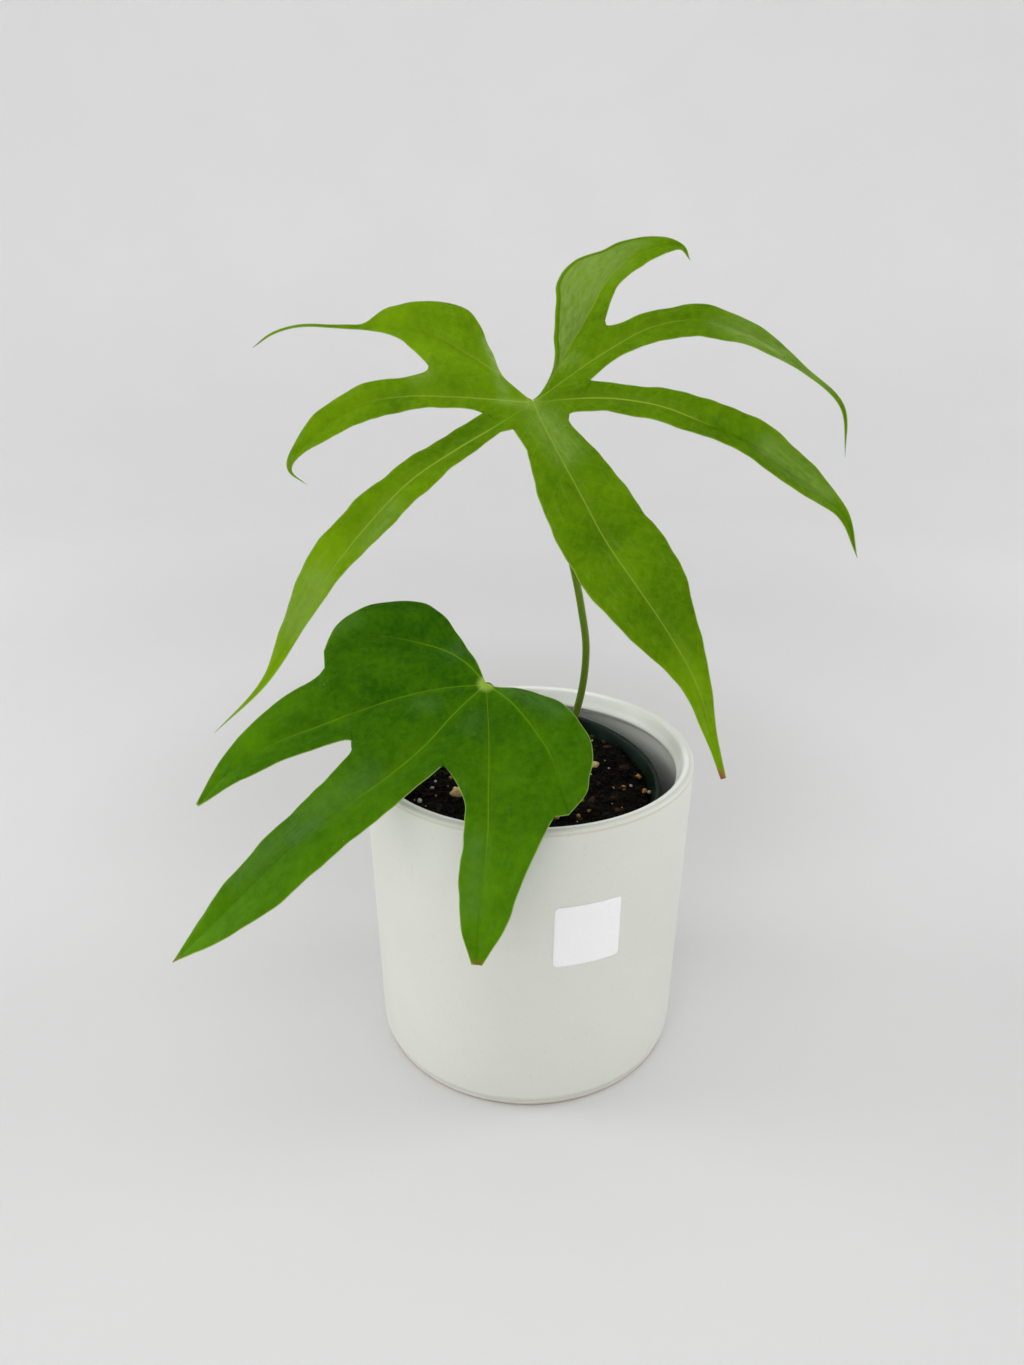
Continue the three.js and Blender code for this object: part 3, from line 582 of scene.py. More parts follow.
def ceramic_look():
    """Satin warm-white glaze, with a faint tan line round the rim and a bare foot. Inside, light
    and shade are painted into the colour: the band below the rim is painted lighter but darker at
    the back right, and the wall below the band has painted shade, darker with depth and lighter at
    the back right."""
    look = Look("satin_glaze", 0.45)
    x, y, z = look.coordinates()
    radius = look.distance(x, y)
    cloudy = look.mix(look.noise(22, 3), colour(219, 220, 211), colour(229, 230, 222))
    specks = look.step(look.noise(900, 2), 0.62, 0.78, 0, 0.35)
    speckled = look.mix(specks, cloudy, colour(196, 194, 180))
    from_line = look.math("ABSOLUTE", look.minus(z, (POT_HEIGHT - 1.4) * MM))
    outside = look.step(radius, (POT_RIM_RADIUS - 1) * MM, (POT_RIM_RADIUS - 0.6) * MM)
    tan = look.times(look.step(from_line, 0.2 * MM, 0.7 * MM, 0.45, 0), outside)

    taper = (POT_RIM_RADIUS - POT_BODY_LOW_RADIUS) / POT_HEIGHT
    from_inner = look.minus(radius, look.times(z, taper))
    inner = POT_BODY_LOW_RADIUS - POT_WALL
    inside = look.step(from_inner, (inner + 1) * MM, (inner + 1.8) * MM, 1, 0)
    below_lip = look.step(z, (RIM_STEP - 0.4) * MM, (RIM_STEP + 0.2) * MM, 1, 0)
    # Painted shade on the wall below the rim's band: darker with depth, lighter at the back right
    # (side)
    depth = look.step(z, (RIM_STEP - 20) * MM, (RIM_STEP - 0.5) * MM)
    side = look.times(look.step(x, 25 * MM, 50 * MM), look.step(y, -10 * MM, 10 * MM))
    low = look.mix(side, colour(138, 139, 134), colour(208, 209, 204))
    high = look.mix(side, colour(178, 179, 173), colour(196, 197, 191))
    # Painted light: the band inside the rim is lighter, but darker at the back right
    thick = look.mix(side, colour(253, 254, 249), colour(226, 228, 219))
    band = look.mix(inside, speckled, thick)
    lined = look.mix(look.times(inside, below_lip), band, look.mix(depth, low, high))
    rimmed = look.mix(tan, lined, colour(196, 190, 166))

    uneven = look.plus(z, look.times(look.noise(60), 0.5 * MM))
    foot = look.step(uneven, 0.9 * MM, 1.6 * MM, 0.9, 0)
    look.paint(foot, rimmed, colour(186, 162, 148))
    satin = look.step(look.noise(40, 3), 0.3, 0.7, 0.34, 0.42)
    look.set("Roughness", look.plus(satin, look.times(foot, 0.35)))
    look.bump(look.blend(0.25, look.noise(70, 2), look.noise(1500, 1)), 0.12, 0.35)
    return look.material


def plastic_look():
    """Dark green moulded plastic, a little scuffed."""
    look = Look("dark_green_plastic", 0.2)
    scuffs = look.noise(120, 4, 0.7, look.stretched(1, 1, 0.25))
    look.paint(look.step(scuffs, 0.45, 0.75), colour(8, 27, 15), colour(18, 44, 30))
    look.roughen(scuffs, 0.3, 0.8, 0.38, 0.6)
    look.bump(look.noise(1400, 2), 0.05, 0.4)
    return look.material


def mix_look():
    """Nearly black damp mix with brown shreds."""
    look = Look("damp_mix", 0.06)
    brown = look.step(look.noise(420, 4, 0.65), 0.52, 0.72)
    shreds = look.step(look.noise(260, 3, 0.6, look.stretched(1, 3.2, 1)), 0.6, 0.74, 0, 0.6)
    dark = look.mix(brown, colour(9, 8, 5), colour(28, 21, 13))
    look.paint(shreds, dark, colour(54, 38, 24))
    look.roughen(look.noise(500, 2), 0.35, 0.7, 0.55, 0.95)
    look.bump(look.noise(1300, 4, 0.7), 0.5, 0.8)
    return look.material


def grain_look(name, pale, deep, grain, roughness):
    """Bits of the mix, each with its own tint."""
    look = Look(name, 0.1)
    wear = look.step(look.noise(grain, 4, 0.65), 0.3, 0.75, -0.3, 0.3)
    worn = look.plus(look.attribute("tint"), wear, clamp=True)
    look.paint(worn, colour(*deep), colour(*pale))
    look.roughen(look.noise(grain * 1.7, 2), 0.3, 0.7, roughness - 0.1, roughness + 0.08)
    look.bump(look.noise(grain * 3, 4, 0.7), 0.25, 0.7)
    return look.material


def paper_look():
    """Plain white paper sticker."""
    look = Look("label_paper", 0.35)
    fibres = look.noise(1600, 3, 0.6)
    look.paint(look.step(fibres, 0.35, 0.7), colour(251, 251, 253), colour(255, 255, 255))
    look.roughen(fibres, 0.3, 0.7, 0.55, 0.7)
    look.bump(look.noise(900, 3), 0.03, 0.5)
    return look.material


def stalk_look(name, foot_z, top_z):
    """Leaf stalk: olive at its foot and fresh green above, with fine long streaks and pale dots."""
    look = Look(name, 0.16)
    rise = look.step(look.coordinates()[2], foot_z * MM, top_z * MM)
    streaks = look.noise(1500, 3, 0.6, look.stretched(1, 1, 0.06))
    low = look.mix(streaks, colour(64, 84, 2), colour(84, 100, 12))
    high = look.mix(streaks, colour(84, 112, 14), colour(108, 138, 34))
    dots = look.step(look.cells(700), 0.12, 0.2, 0.35, 0)
    look.paint(dots, look.mix(rise, low, high), colour(150, 160, 96))
    look.roughen(streaks, 0.3, 0.7, 0.36, 0.46)
    look.bump(streaks, 0.06, 0.5)
    return look.material


def sheath_look():
    """Papery bract: tan and green, with long fibres."""
    look = Look("papery_sheath", 0.3)
    fibres = look.noise(900, 4, 0.7, look.stretched(1, 1, 0.08))
    patches = look.step(look.noise(90, 3), 0.35, 0.65)
    green = look.mix(fibres, colour(92, 100, 40), colour(140, 136, 74))
    dry = look.mix(fibres, colour(96, 70, 40), colour(168, 138, 92))
    look.paint(patches, green, dry)
    look.roughen(fibres, 0.3, 0.7, 0.6, 0.8)
    look.bump(fibres, 0.2, 0.8)
    return look.material


def blade_look(name, greens, knob, crease, under=False):
    """A leaf's face. The mesh carries each point's distance from its rib, from the margin and from
    the junction in millimetres, its share of the rib's length, its place in the row of side veins,
    how clearly the rib shows there, how light the green is, the painted sheen, the dry tips and the
    painted sheen panel beside a rib. Painted gloss streaks add to the sheen, and painted shade
    darkens the crease along a rib and the fold beside the panel."""
    look = Look(name, 0.2 if under else 0.03)
    deep, fresh, vein, margin, glow = (colour(*green) for green in greens)
    rib = look.attribute("rib_mm")
    edge = look.attribute("edge_mm")
    share = look.attribute("rib_share")
    lateral = look.attribute("lateral")
    painted = look.attribute("rib_paint")

    clouds = look.step(look.noise(45, 3, 0.55), 0.32, 0.68, -0.13, 0.13)
    streaks = look.noise(300, 3, 0.6, look.stretched(1, 1, 0.3))
    streaked = look.plus(clouds, look.step(streaks, 0.3, 0.7, -0.09, 0.09))
    mottles = look.step(look.noise(420, 4, 0.65), 0.33, 0.67, -0.1, 0.1)
    tone = look.plus(look.attribute("tone"), look.plus(mottles, streaked))
    body = look.mix(tone, deep, fresh)

    phase = look.math("ABSOLUTE", look.minus(look.math("FRACT", lateral), 0.5))
    side_vein = look.times(look.step(phase, 0.43, 0.5), look.step(share, 0.1, 0.9, 0.12, 0.03))
    net = look.step(look.cells(330, "DISTANCE_TO_EDGE"), 0.0, 0.1, 0.05, 0)
    veined = look.mix(look.math("MAXIMUM", side_vein, net), body, vein)

    half_width = look.step(share, 0.0, 1.0, 0.56, 0.26)
    line = look.step(look.math("DIVIDE", rib, half_width), 0.25, 1.0, 1, 0)
    halo = look.step(rib, 0.2, 3.0, 0.16, 0)
    drawn = look.times(look.math("MAXIMUM", line, halo), painted)
    # Painted shade: a darker line in the crease along the rib, where the rib's own line fades
    fold_line = look.times(look.step(rib, 0.12, 0.5, crease, 0), look.minus(1, painted))
    lined = look.mix(fold_line, look.mix(drawn, veined, vein), deep)
    heart = look.step(look.attribute("heart_mm"), 1.4, 4, knob, 0)
    hearted = look.mix(heart, lined, look.mix(heart, margin, colour(158, 190, 62)))

    # A painted sheen panel beside the rib
    panel = look.attribute("panel")
    from_fold = look.minus(edge, look.step(share, 0.3, 0.6, 1.3, 0.7))
    inside = look.times(look.step(from_fold, 0, 0.7), look.step(rib, 0.15, 0.6))
    # Painted shade along the fold at the edge of the painted sheen panel
    fold = look.times(look.step(from_fold, -0.5, 0), look.step(from_fold, 0, 0.5, 1, 0))
    creased = look.mix(look.times(fold, panel), hearted, deep)
    grid = {0: look.times(lateral, 1.3), 1: rib, 2: edge}
    along = look.node("ShaderNodeCombineXYZ", grid).outputs[0]
    # Painted sheen: the sheen patches, painted gloss streaks and the panel, broken into streaks
    # along the veins
    fibres = look.step(look.noise(0.8, 4, 0.65, along), 0.3, 0.7, 0.45, 1.25)
    gloss = look.step(look.noise(0.45, 4, 0.6, along), 0.56, 0.74, 0, 0.2)
    sheen = look.plus(look.attribute("sheen"), gloss)
    shine = look.math("MAXIMUM", sheen, look.times(panel, inside))
    bloomed = look.mix(look.times(shine, fibres, clamp=True), creased, glow)
    rimmed = look.mix(look.step(edge, 0.08, 0.36, 0.6, 0), bloomed, margin)
    dried = look.mix(look.attribute("dry"), rimmed, colour(150, 92, 52))

    dots = look.step(look.cells(150), 0.028, 0.05, 0.8, 0)
    specks = look.times(dots, look.step(look.noise(55), 0.5, 0.6))
    speckled = look.mix(specks, dried, colour(40, 44, 14))
    pale_dots = look.step(look.cells(190), 0.02, 0.034, 0.7, 0)
    dust = look.times(pale_dots, look.step(look.noise(41), 0.56, 0.64))
    look.paint(dust, speckled, colour(188, 204, 176))

    rough = (0.55, 0.66) if under else (0.42, 0.54)
    look.roughen(look.noise(700, 2), 0.3, 0.7, *rough)
    grain = look.plus(look.cells(1500, "SMOOTH_F1"), look.noise(160, 2))
    quilt = look.times(look.step(phase, 0.2, 0.5), -0.6)
    look.bump(look.plus(grain, quilt), 0.12, 0.4)
    return look.material


# Cachepot
def wall_radius(height):
    return POT_BODY_LOW_RADIUS + (POT_RIM_RADIUS - POT_BODY_LOW_RADIUS) * height / POT_HEIGHT


def make_cachepot():
    foot, rim, mouth, top = POT_FOOT_RADIUS, POT_RIM_RADIUS, POT_MOUTH_RADIUS, POT_HEIGHT
    profile = [(0, 0.6), (foot - 4, 0.6), (foot - 3.4, 0.5), (foot - 3, 0), (foot - 2, 0)]
    profile += [(foot - 0.8, 0.02)] + arc((foot - 0.6, 0.9), 0.9, -80, -10, 5)
    corner = 4.6
    centre = (wall_radius(corner + 1) - corner - 0.1, corner + 1.2)
    profile += arc(centre, corner, -48, -2, 10)
    profile += [(wall_radius(height), height) for height in range(8, int(top) - 3, 4)]
    profile += arc((rim - 1.3, top - 1.3), 1.3, 0, 88, 8)
    profile += arc((mouth + 1.1, top - 1.1), 1.1, 92, 152, 8)
    profile += [(mouth - 0.6, top - 2.6), (mouth - 1.3, top - 4.2)]
    profile += arc((mouth - 0.7, RIM_STEP + 1.3), 1.3, 170, 250, 8)
    profile += [(wall_radius(RIM_STEP) - POT_WALL, RIM_STEP - 0.4)]
    levels = range(int(RIM_STEP) - 2, 12, -6)
    profile += [(wall_radius(height) - POT_WALL, height) for height in levels]
    profile += arc((wall_radius(9) - POT_WALL - 4, POT_FLOOR + 4), 4, 0, -90, 8)
    profile += [(30, POT_FLOOR), (0, POT_FLOOR)]

    def thrown(x, y, height):
        """A cast pot is never perfectly round, and this one's rim is higher at the back."""
        swell = 1 + 0.0012 * noise.noise(Vector((x, y, height)) * 0.012)
        lift = RIM_LIFT * max(y, 0) / rim * eased(height, 0.6 * top, 0.95 * top)
        return x * swell, y * swell, height + lift

    mesh = mesh_from("cachepot_glazed", *revolved(profile, POT_SEGMENTS, thrown))
    shown("cachepot_glazed", mesh, "ceramic", "cachepot", ceramic_look())


# Nursery pot
def nursery_radius(height):
    share = height / NURSERY_HEIGHT
    return NURSERY_BASE_RADIUS + (NURSERY_RIM_RADIUS - 1 - NURSERY_BASE_RADIUS) * share


def nursery_place():
    """Where the leaning pot stands, in millimetres."""
    forward = Matrix.Rotation(NURSERY_LEAN_FORWARD, 4, "X")
    lean = forward @ Matrix.Rotation(NURSERY_LEAN_RIGHT, 4, "Y")
    foot = NURSERY_RIM_CENTRE - lean.to_3x3() @ Vector((0, 0, NURSERY_HEIGHT))
    return Matrix.Translation(foot) @ lean


IN_NURSERY_POT = Matrix.Scale(MM, 4) @ nursery_place() @ Matrix.Scale(1 / MM, 4)


def make_nursery_pot():
    base, rim, top, floor = NURSERY_BASE_RADIUS, NURSERY_RIM_RADIUS, NURSERY_HEIGHT, NURSERY_FLOOR
    lip_foot = top - 4
    step = 0.8

    def inner(height):
        return nursery_radius(height) - NURSERY_WALL

    profile = [(0, step), (base - 6, step), (base - 5.6, step - 0.2), (base - 5, 0)]
    profile += [(base - 1.2, 0)] + arc((base - 0.8, 0.8), 0.8, -80, 0, 5)
    profile += [(nursery_radius(height), height) for height in range(3, 92, 8)]
    profile += [(nursery_radius(lip_foot), lip_foot), (rim - 0.3, lip_foot + 0.1)]
    profile += [(rim, lip_foot + 0.4), (rim, top - 0.8)]
    profile += arc((rim - 0.6, top - 0.6), 0.6, 15, 90, 4)
    profile += arc((rim - 1.5, top - 0.6), 0.6, 95, 165, 4)
    profile += [(inner(height), height) for height in range(int(top) - 2, 4, -7)]
    profile += arc((inner(floor) - 1.4, floor + 1.5), 1.5, 0, -88, 5)
    profile += [(base - 8, floor), (0, floor)]
    mesh = mesh_from("nursery_pot_shell", *revolved(profile, NURSERY_SEGMENTS))
    mesh.transform(IN_NURSERY_POT)
    shown("nursery_pot_shell", mesh, "nursery_plastic", "nursery_pot", plastic_look())


# Potting mix
def mix_top(x, y):
    """Height of the mix in the nursery pot, as in the CAD source, with fine crumbs added."""
    long = 1.1 * math.sin(x * 0.11 + 0.6) * math.cos(y * 0.13 - 0.4)
    short = 0.4 * math.sin(x * 0.37 + y * 0.21) + 0.3 * math.cos(x * 0.28 - y * 0.42)
    crumbs = 0
    for height, spread in ((0.75, 0.42), (0.5, 0.95), (0.3, 2.1)):
        crumbs += height * noise.noise(Vector((x, y, 0)) * spread)
    return MIX_LEVEL + long + short + crumbs


def make_mix_body():
    rings, levels, sides = 110, 8, 264
    edge_drop = 1.0
    wall_gap = NURSERY_WALL + 0.15
    bottom = NURSERY_FLOOR + 0.3
    top_radius = nursery_radius(MIX_LEVEL - 2) - wall_gap
    bottom_radius = nursery_radius(bottom + 2) - wall_gap - 2
    skin = []
    for ring in range(1, rings + 1):
        radius = top_radius * ring / rings
        drop = edge_drop * eased(ring, rings - 6, rings)
        spots = [(radius * x, radius * y) for x, y in around(sides, 0.5 * (ring % 2))]
        skin.append([(x, y, mix_top(x, y) - drop) for x, y in spots])
    for level in range(1, levels + 1):
        share = level / levels
        radius = top_radius + (bottom_radius - top_radius) * share
        height = (MIX_LEVEL - 4) * (1 - share) + (bottom + 2) * share
        turns = around(sides, 0.5 * (rings % 2))
        skin.append([(radius * x, radius * y, height) for x, y in turns])
    points, faces = capped(skin, (0, 0, mix_top(0, 0)), (0, 0, bottom))
    faces = [(face[0], *reversed(face[1:])) for face in faces]  # the rings run downward
    mesh = mesh_from("mix_body", points, faces)
    mesh.transform(IN_NURSERY_POT)
    shown("mix_body", mesh, "potting_mix", "potting_mix", mix_look())


def unit_ball(detail):
    """Points and faces of a ball of radius 1."""
    build = bmesh.new()
    bmesh.ops.create_icosphere(build, subdivisions=detail, radius=1)
    points = [vert.co.copy() for vert in build.verts]
    faces = [[vert.index for vert in face.verts] for face in build.faces]
    build.free()
    return points, faces


BALLS = {detail: unit_ball(detail) for detail in (2, 3)}


def lump(place, size, stretch, turn, detail, rough, seed):
    """Points and faces of one rough bit in millimetres."""
    ball, faces = BALLS[detail]
    points = []
    for point in ball:
        swell = 1 + rough * noise.noise(point * 1.3 + Vector((seed, 0, 0)))
        swell += 0.5 * rough * noise.noise(point * 3.1 + Vector((0, seed, 0)))
        shaped = Vector((point.x * stretch[0], point.y * stretch[1], point.z * stretch[2]))
        points.append(place + turn @ (shaped * (size * swell)))
    return points, faces


def bits_piece(name, look, bits):
    """One piece from many bits: each is a tint and what lump() needs."""
    points, faces, tints = [], [], []
    for tint, *shape in bits:
        add_shape(points, faces, lump(*shape))
        tints += [tint] * (len(points) - len(tints))
    mesh = mesh_from(name, points, faces)
    mesh.attributes.new("tint", "FLOAT", "POINT").data.foreach_set("value", tints)
    mesh.transform(IN_NURSERY_POT)
    shown(name, mesh, "potting_mix", None, look)


def make_mix_bits():
    draw = random.Random(MIX_SEED)
    stem = nursery_place().inverted() @ CROWN_FOOT
    reach = nursery_radius(MIX_LEVEL) - NURSERY_WALL - 0.4
    kinds = {kind: [] for kind in BITS}

    def scattered(size, rise):
        """A place on the mix that is clear of the stem."""
        while True:
            radius = (reach - size) * math.sqrt(draw.random())
            angle = draw.uniform(0, 2 * math.pi)
            x, y = radius * math.cos(angle), radius * math.sin(angle)
            if math.hypot(x - stem.x, y - stem.y) > CROWN_RADIUS + size + 1:
                return Vector((x, y, mix_top(x, y) + rise * size))

    def add_bit(kind, tint, place, size, stretch, detail, rough):
        tilt = (draw.uniform(-0.5, 0.5), draw.uniform(-0.5, 0.5), draw.uniform(0, ANY_PHASE))
        turn = Euler(tilt).to_matrix()
        bit = (tint, place, size, stretch, turn, detail, rough, draw.uniform(0, 90))
        kinds[kind].append(bit)

    for kind, count, sizes, widths, depths, tints, power, rise, detail, rough in LOOSE_BITS:
        for _ in range(count):
            size = draw.uniform(*sizes)
            stretch = (1, draw.uniform(*widths), draw.uniform(*depths))
            chosen = kind or ("perlite" if draw.random() < PERLITE_SHARE else "grit")
            tint = draw.uniform(*tints) ** power
            add_bit(chosen, tint, scattered(size, rise), size, stretch, detail, rough)
    for x, y, size, kind in GRAINS:
        place = Vector((x, y, mix_top(x, y) + 0.45 * size))
        stretch = (1, draw.uniform(0.75, 0.95), draw.uniform(0.7, 0.9))
        add_bit(kind, draw.uniform(0.65, 1), place, size, stretch, 3, 0.35)
    for kind, finish in BITS.items():
        bits_piece("mix_" + kind, grain_look(*finish), kinds[kind])


def make_mix_fibres():
    """Thin curled root and husk fibres that lie on the mix."""
    draw = random.Random(MIX_SEED + 1)
    reach = 46
    points, faces = [], []
    for _ in range(FIBRES):
        radius = reach * math.sqrt(draw.random())
        angle = draw.uniform(0, 2 * math.pi)
        x, y = radius * math.cos(angle), radius * math.sin(angle)
        heading_angle = draw.uniform(0, 2 * math.pi)
        route = []
        for _ in range(4):
            if math.hypot(x, y) > reach + 0.5:
                break
            route.append((x, y, mix_top(x, y) + draw.uniform(0.05, 0.7)))
            heading_angle += draw.uniform(-0.7, 0.7)
            x += draw.uniform(1.2, 3) * math.cos(heading_angle)
            y += draw.uniform(1.2, 3) * math.sin(heading_angle)
        if len(route) < 3:
            continue
        thick = draw.uniform(0.1, 0.28)
        fibre = swept(route, lambda share: thick * (1 - 0.7 * share), 6, 10)
        add_shape(points, faces, fibre)
    mesh = mesh_from("mix_fibres", points, faces)
    mesh.transform(IN_NURSERY_POT)
    look = grain_look("husk_fibre", (92, 68, 42), (30, 22, 14), 700, 0.75)
    shown("mix_fibres", mesh, "potting_mix", None, look)


# Stem crown
def make_stem():
    radius, ring = CROWN_RADIUS, CROWN_RADIUS - 0.5
    profile = [(0, 0), (radius - 1.5, 0), (ring, 2)]
    for knot in CROWN_KNOTS:
        profile += [(ring, knot - 1.2), (radius - 0.1, knot - 0.4)]
        profile += [(radius - 0.1, knot + 0.2), (ring, knot + 1)]
    profile += arc((radius - 2.6, CROWN_HEIGHT - 2.2), 2.2, 0, 80, 6)
    profile += [(0, CROWN_HEIGHT - 0.1)]

    def lumpy(x, y, height):
        swell = 1 + 0.08 * noise.noise(Vector((x, y, height)) * 0.3)
        return x * swell, y * swell, height

    points, faces = revolved(profile, 48, lumpy)
    mesh = mesh_from("stem", [Vector(point) + CROWN_FOOT for point in points], faces)
    shown("stem", mesh, "stem", "stem_crown", sheath_look())


def make_sheath(name, centre, height, radius, facing_degrees, lean):
    """A papery bract that wraps a stalk's foot and narrows to a point."""
    rows, columns = 28, 24
    wrap = math.radians(230)
    half_thickness = 0.35 / 2
    middle = math.radians(facing_degrees)
    outer, inner = [], []
    for row in range(rows + 1):
        share = row / rows
        spread = wrap * (1 - eased(share, 0.25, 1.02)) + 0.06
        girth = radius * (1 + 0.12 * math.sin(3 * share)) * (1 - 0.35 * share)
        spine = centre + Vector((lean[0] * share, lean[1] * share, height * share))
        for column in range(columns + 1):
            turn = middle + spread * (column / columns - 0.5)
            ripple = 0.12 * math.sin(9 * column / columns * math.pi + 4 * share)
            direction = Vector((math.cos(turn), math.sin(turn), 0))
            base = spine + direction * (girth + ripple)
            outer.append(base + direction * half_thickness)
            inner.append(base - direction * half_thickness)
    mesh = mesh_from(name, outer + inner, sheet_faces(rows, columns))
    shown(name, mesh, "stem", None, sheath_look())


def make_petiole(name, route, replaced):
    length = sum((Vector(b) - Vector(a)).length for a, b in zip(route, route[1:]))

    def radius_at(share):
        """It narrows slightly, flares at its foot and thickens at the joint below the blade."""
        flare = 0.3 * math.exp(-share * length / 9)
        joint = 0.22 * math.exp(-(((1 - share) * length - 5) / 4) ** 2)
        return PETIOLE_RADIUS - 0.08 * share + flare + joint

    points, faces = swept(route, radius_at, 24, max(int(length), 40))
    foot, tip = route[0][2], route[-1][2]
    look = stalk_look(name + "_skin", foot, foot + 0.55 * (tip - foot))
    shown(name, mesh_from(name, points, faces), "petiole", replaced, look)


# Leaf blades
def edge_point(shape, leaf, share, side):
    """The point on a lobe's free edge, with side 1 for "before" and -1 for "after"."""
    rib = [Vector(leaf["junction"])] + [Vector(point) for point in shape["rib"]]
    widths = [0, *(shape["before"] if side > 0 else shape["after"]), shape["blunt"]]
    along = heading(rib, share, 0.001)
    across = along.cross(Vector(leaf["facing"]).normalized()).normalized()
    up = across.cross(along).normalized()
    fold = math.radians(shape["fold"])
    width = max(between(widths, share), 0)
    flat = between(rib, share) + across * (side * width * math.cos(fold))
    return flat + up * (width * math.sin(fold))


def joined_rows(sinus):
    """How many rows of two neighbouring lobes are grown together."""
    return sinus[1] * ROWS_PER_STEP if sinus else 0


def row_shares(shape, sinuses):
    """The rib's share at each row: the rows that end at a sinus stand level with it."""
    rows = STEPS * ROWS_PER_STEP
    knots = [(0, 0), (rows, 1)]
    knots += [(joined_rows(sinus), opens) for sinus, opens in zip(sinuses, shape["opens"]) if sinus]
    knots.sort()
    shares = []
    for row in range(rows + 1):
        high = max(next(i for i, knot in enumerate(knots) if knot[0] >= row), 1)
        (row0, share0), (row1, share1) = knots[high - 1], knots[high]
        along = (row - row0) / (row1 - row0)
        if high == len(knots) - 1:
            along = along**1.25
        shares.append(share0 + (share1 - share0) * along)
    return shares


def lobe_edge(shape, leaf, shares, side, sinus):
    """A lobe's edge: the seam to its neighbour as far as the sinus, then the free edge, which
    leaves the sinus in a round turn."""
    junction = Vector(leaf["junction"])
    joined = joined_rows(sinus)
    opening = Vector(sinus[0]) if sinus else junction
    shift = opening - edge_point(shape, leaf, shares[joined], side)
    length = (junction - Vector(shape["rib"][-1])).length
    room = 1 - shares[joined]
    settle_share = (1.6 * shift.length + 1) / length
    straight = settle_share > room or sinus and len(sinus) > 2
    edge = []
    for row, share in enumerate(shares):
        if row <= joined and joined:
            edge.append(junction.lerp(opening, row / joined))
            continue
        rest = max(1 - (share - shares[joined]) / min(settle_share, room), 0)
        turn = rest if straight else 1 - math.sqrt(1 - rest * rest)
        edge.append(edge_point(shape, leaf, share, side) + shift * turn)
    return edge, joined


def column_shares(width):
    """Where the columns stand between rib and edge: close together beside the rib and the edge."""
    shares = [0]
    for i, distance in enumerate((0.3, 0.65, 1.1, 1.8)):
        shares.append(min(distance / max(width, 0.01), 0.07 * (i + 1)))
    last = shares[-1]
    far = (0.15, 0.31, 0.47, 0.62, 0.76, 0.87, 0.95, 1)
    return shares + [last + (1 - last) * share for share in far]


def along_line(point, start, end):
    """The share of the way from start to end that lies nearest to a point."""
    line = Vector(end) - Vector(start)
    return min(max((point - Vector(start)).dot(line) / line.length_squared, 0), 1)


def patches_at(point, patches):
    """The sum of soft patches at a point. Each lies along a line between two places, and has a
    reach in millimetres and a strength."""
    total = 0
    for start, end, reach, strength in patches:
        nearest = Vector(start).lerp(Vector(end), along_line(point, start, end))
        total += strength * math.exp(-(((point - nearest).length / reach) ** 2))
    return total


def ramp_at(point, ramp):
    """A value that changes steadily from one place to another."""
    start, end, low, high = ramp
    return low + (high - low) * along_line(point, start, end)


def rib_paint_at(shape, share):
    """How clearly a lobe's rib shows at a share of its length."""
    near, clear, fades, gone = shape["drawn"]
    return (near + (clear - near) * eased(share, 0.03, 0.2)) * (1 - eased(share, fades, gone))


def panel_at(shape, share, side):
    """How bright the panel beside a lobe's rib is, if the lobe has one on this side."""
    if not shape["panel"] or shape["panel"][0] != side:
        return 0
    low, high, strength = shape["panel"][1:]
    return strength * eased(share, low, low + 0.08) * (1 - eased(share, high - 0.2, high))


def leaf_rows(leaf, seed):
    """Every half lobe of a leaf, as rows of (point, facts) from its rib to its edge."""
    draw = random.Random(seed)
    facing = Vector(leaf["facing"]).normalized()
    junction = Vector(leaf["junction"])
    sinuses = [None, *leaf["sinuses"], None]
    for shape, before, after in zip(leaf["lobes"], sinuses, sinuses[1:]):
        shares = row_shares(shape, (before, after))
        rib = [junction] + [Vector(point) for point in shape["rib"]]
        spine = [between(rib, share) for share in shares]
        lengths = [0]
        for a, b in zip(spine, spine[1:]):
            lengths.append(lengths[-1] + (b - a).length)
        for side, sinus in ((1, before), (-1, after)):
            edge, joined = lobe_edge(shape, leaf, shares, side, sinus)
            phases = [draw.uniform(0, ANY_PHASE) for _ in range(3)]
            offset = draw.uniform(0, 1)
            rows = []
            for row, (start, share, along) in enumerate(zip(spine, shares, lengths)):
                reach = edge[row] - start
                width = reach.length
                free = row > joined or not joined
                calm = eased(row - joined, 0, 22) * min(width / 5, 1) * (1 - share) ** 0.3
                calm = calm if free else 0
                outward = reach.normalized() if width > 0.001 else reach
                ripples = [
                    height * math.sin(along / length + phase)
                    for (height, length), phase in zip(MARGIN_WAVES, phases)
                ]
                rim = edge[row] + outward * (calm * (ripples[0] + ripples[1]))
                wave = calm * ripples[2]
                rise = max((rim - start).dot(facing), 0)
                paint = rib_paint_at(shape, share)
                panel = panel_at(shape, share, side)
                line = []
                for v in column_shares(width):
                    point = start.lerp(rim, v) + facing * (rise * v * (1 - v) + wave * v**3)
                    distance = width * v
                    bend = VEIN_SLANT * distance + VEIN_BEND * distance**2
                    facts = {
                        "rib_mm": distance,
                        "rib_share": share,
                        "lateral": (along - bend) / LATERAL_SPACING + offset + 20,
                        "edge_mm": width * (1 - v) if free else SEAM_MM,
                        "heart_mm": (point - junction).length,
                        "rib_paint": paint,
                        "tone": ramp_at(point, leaf["lighter"]) + patches_at(point, leaf["tone"]),
                        "sheen": patches_at(point, leaf["sheen"]),
                        "dry": patches_at(point, leaf["dry"]),
                        "panel": panel,
                    }
                    line.append((point, facts))
                rows.append(line)
            yield side, rows


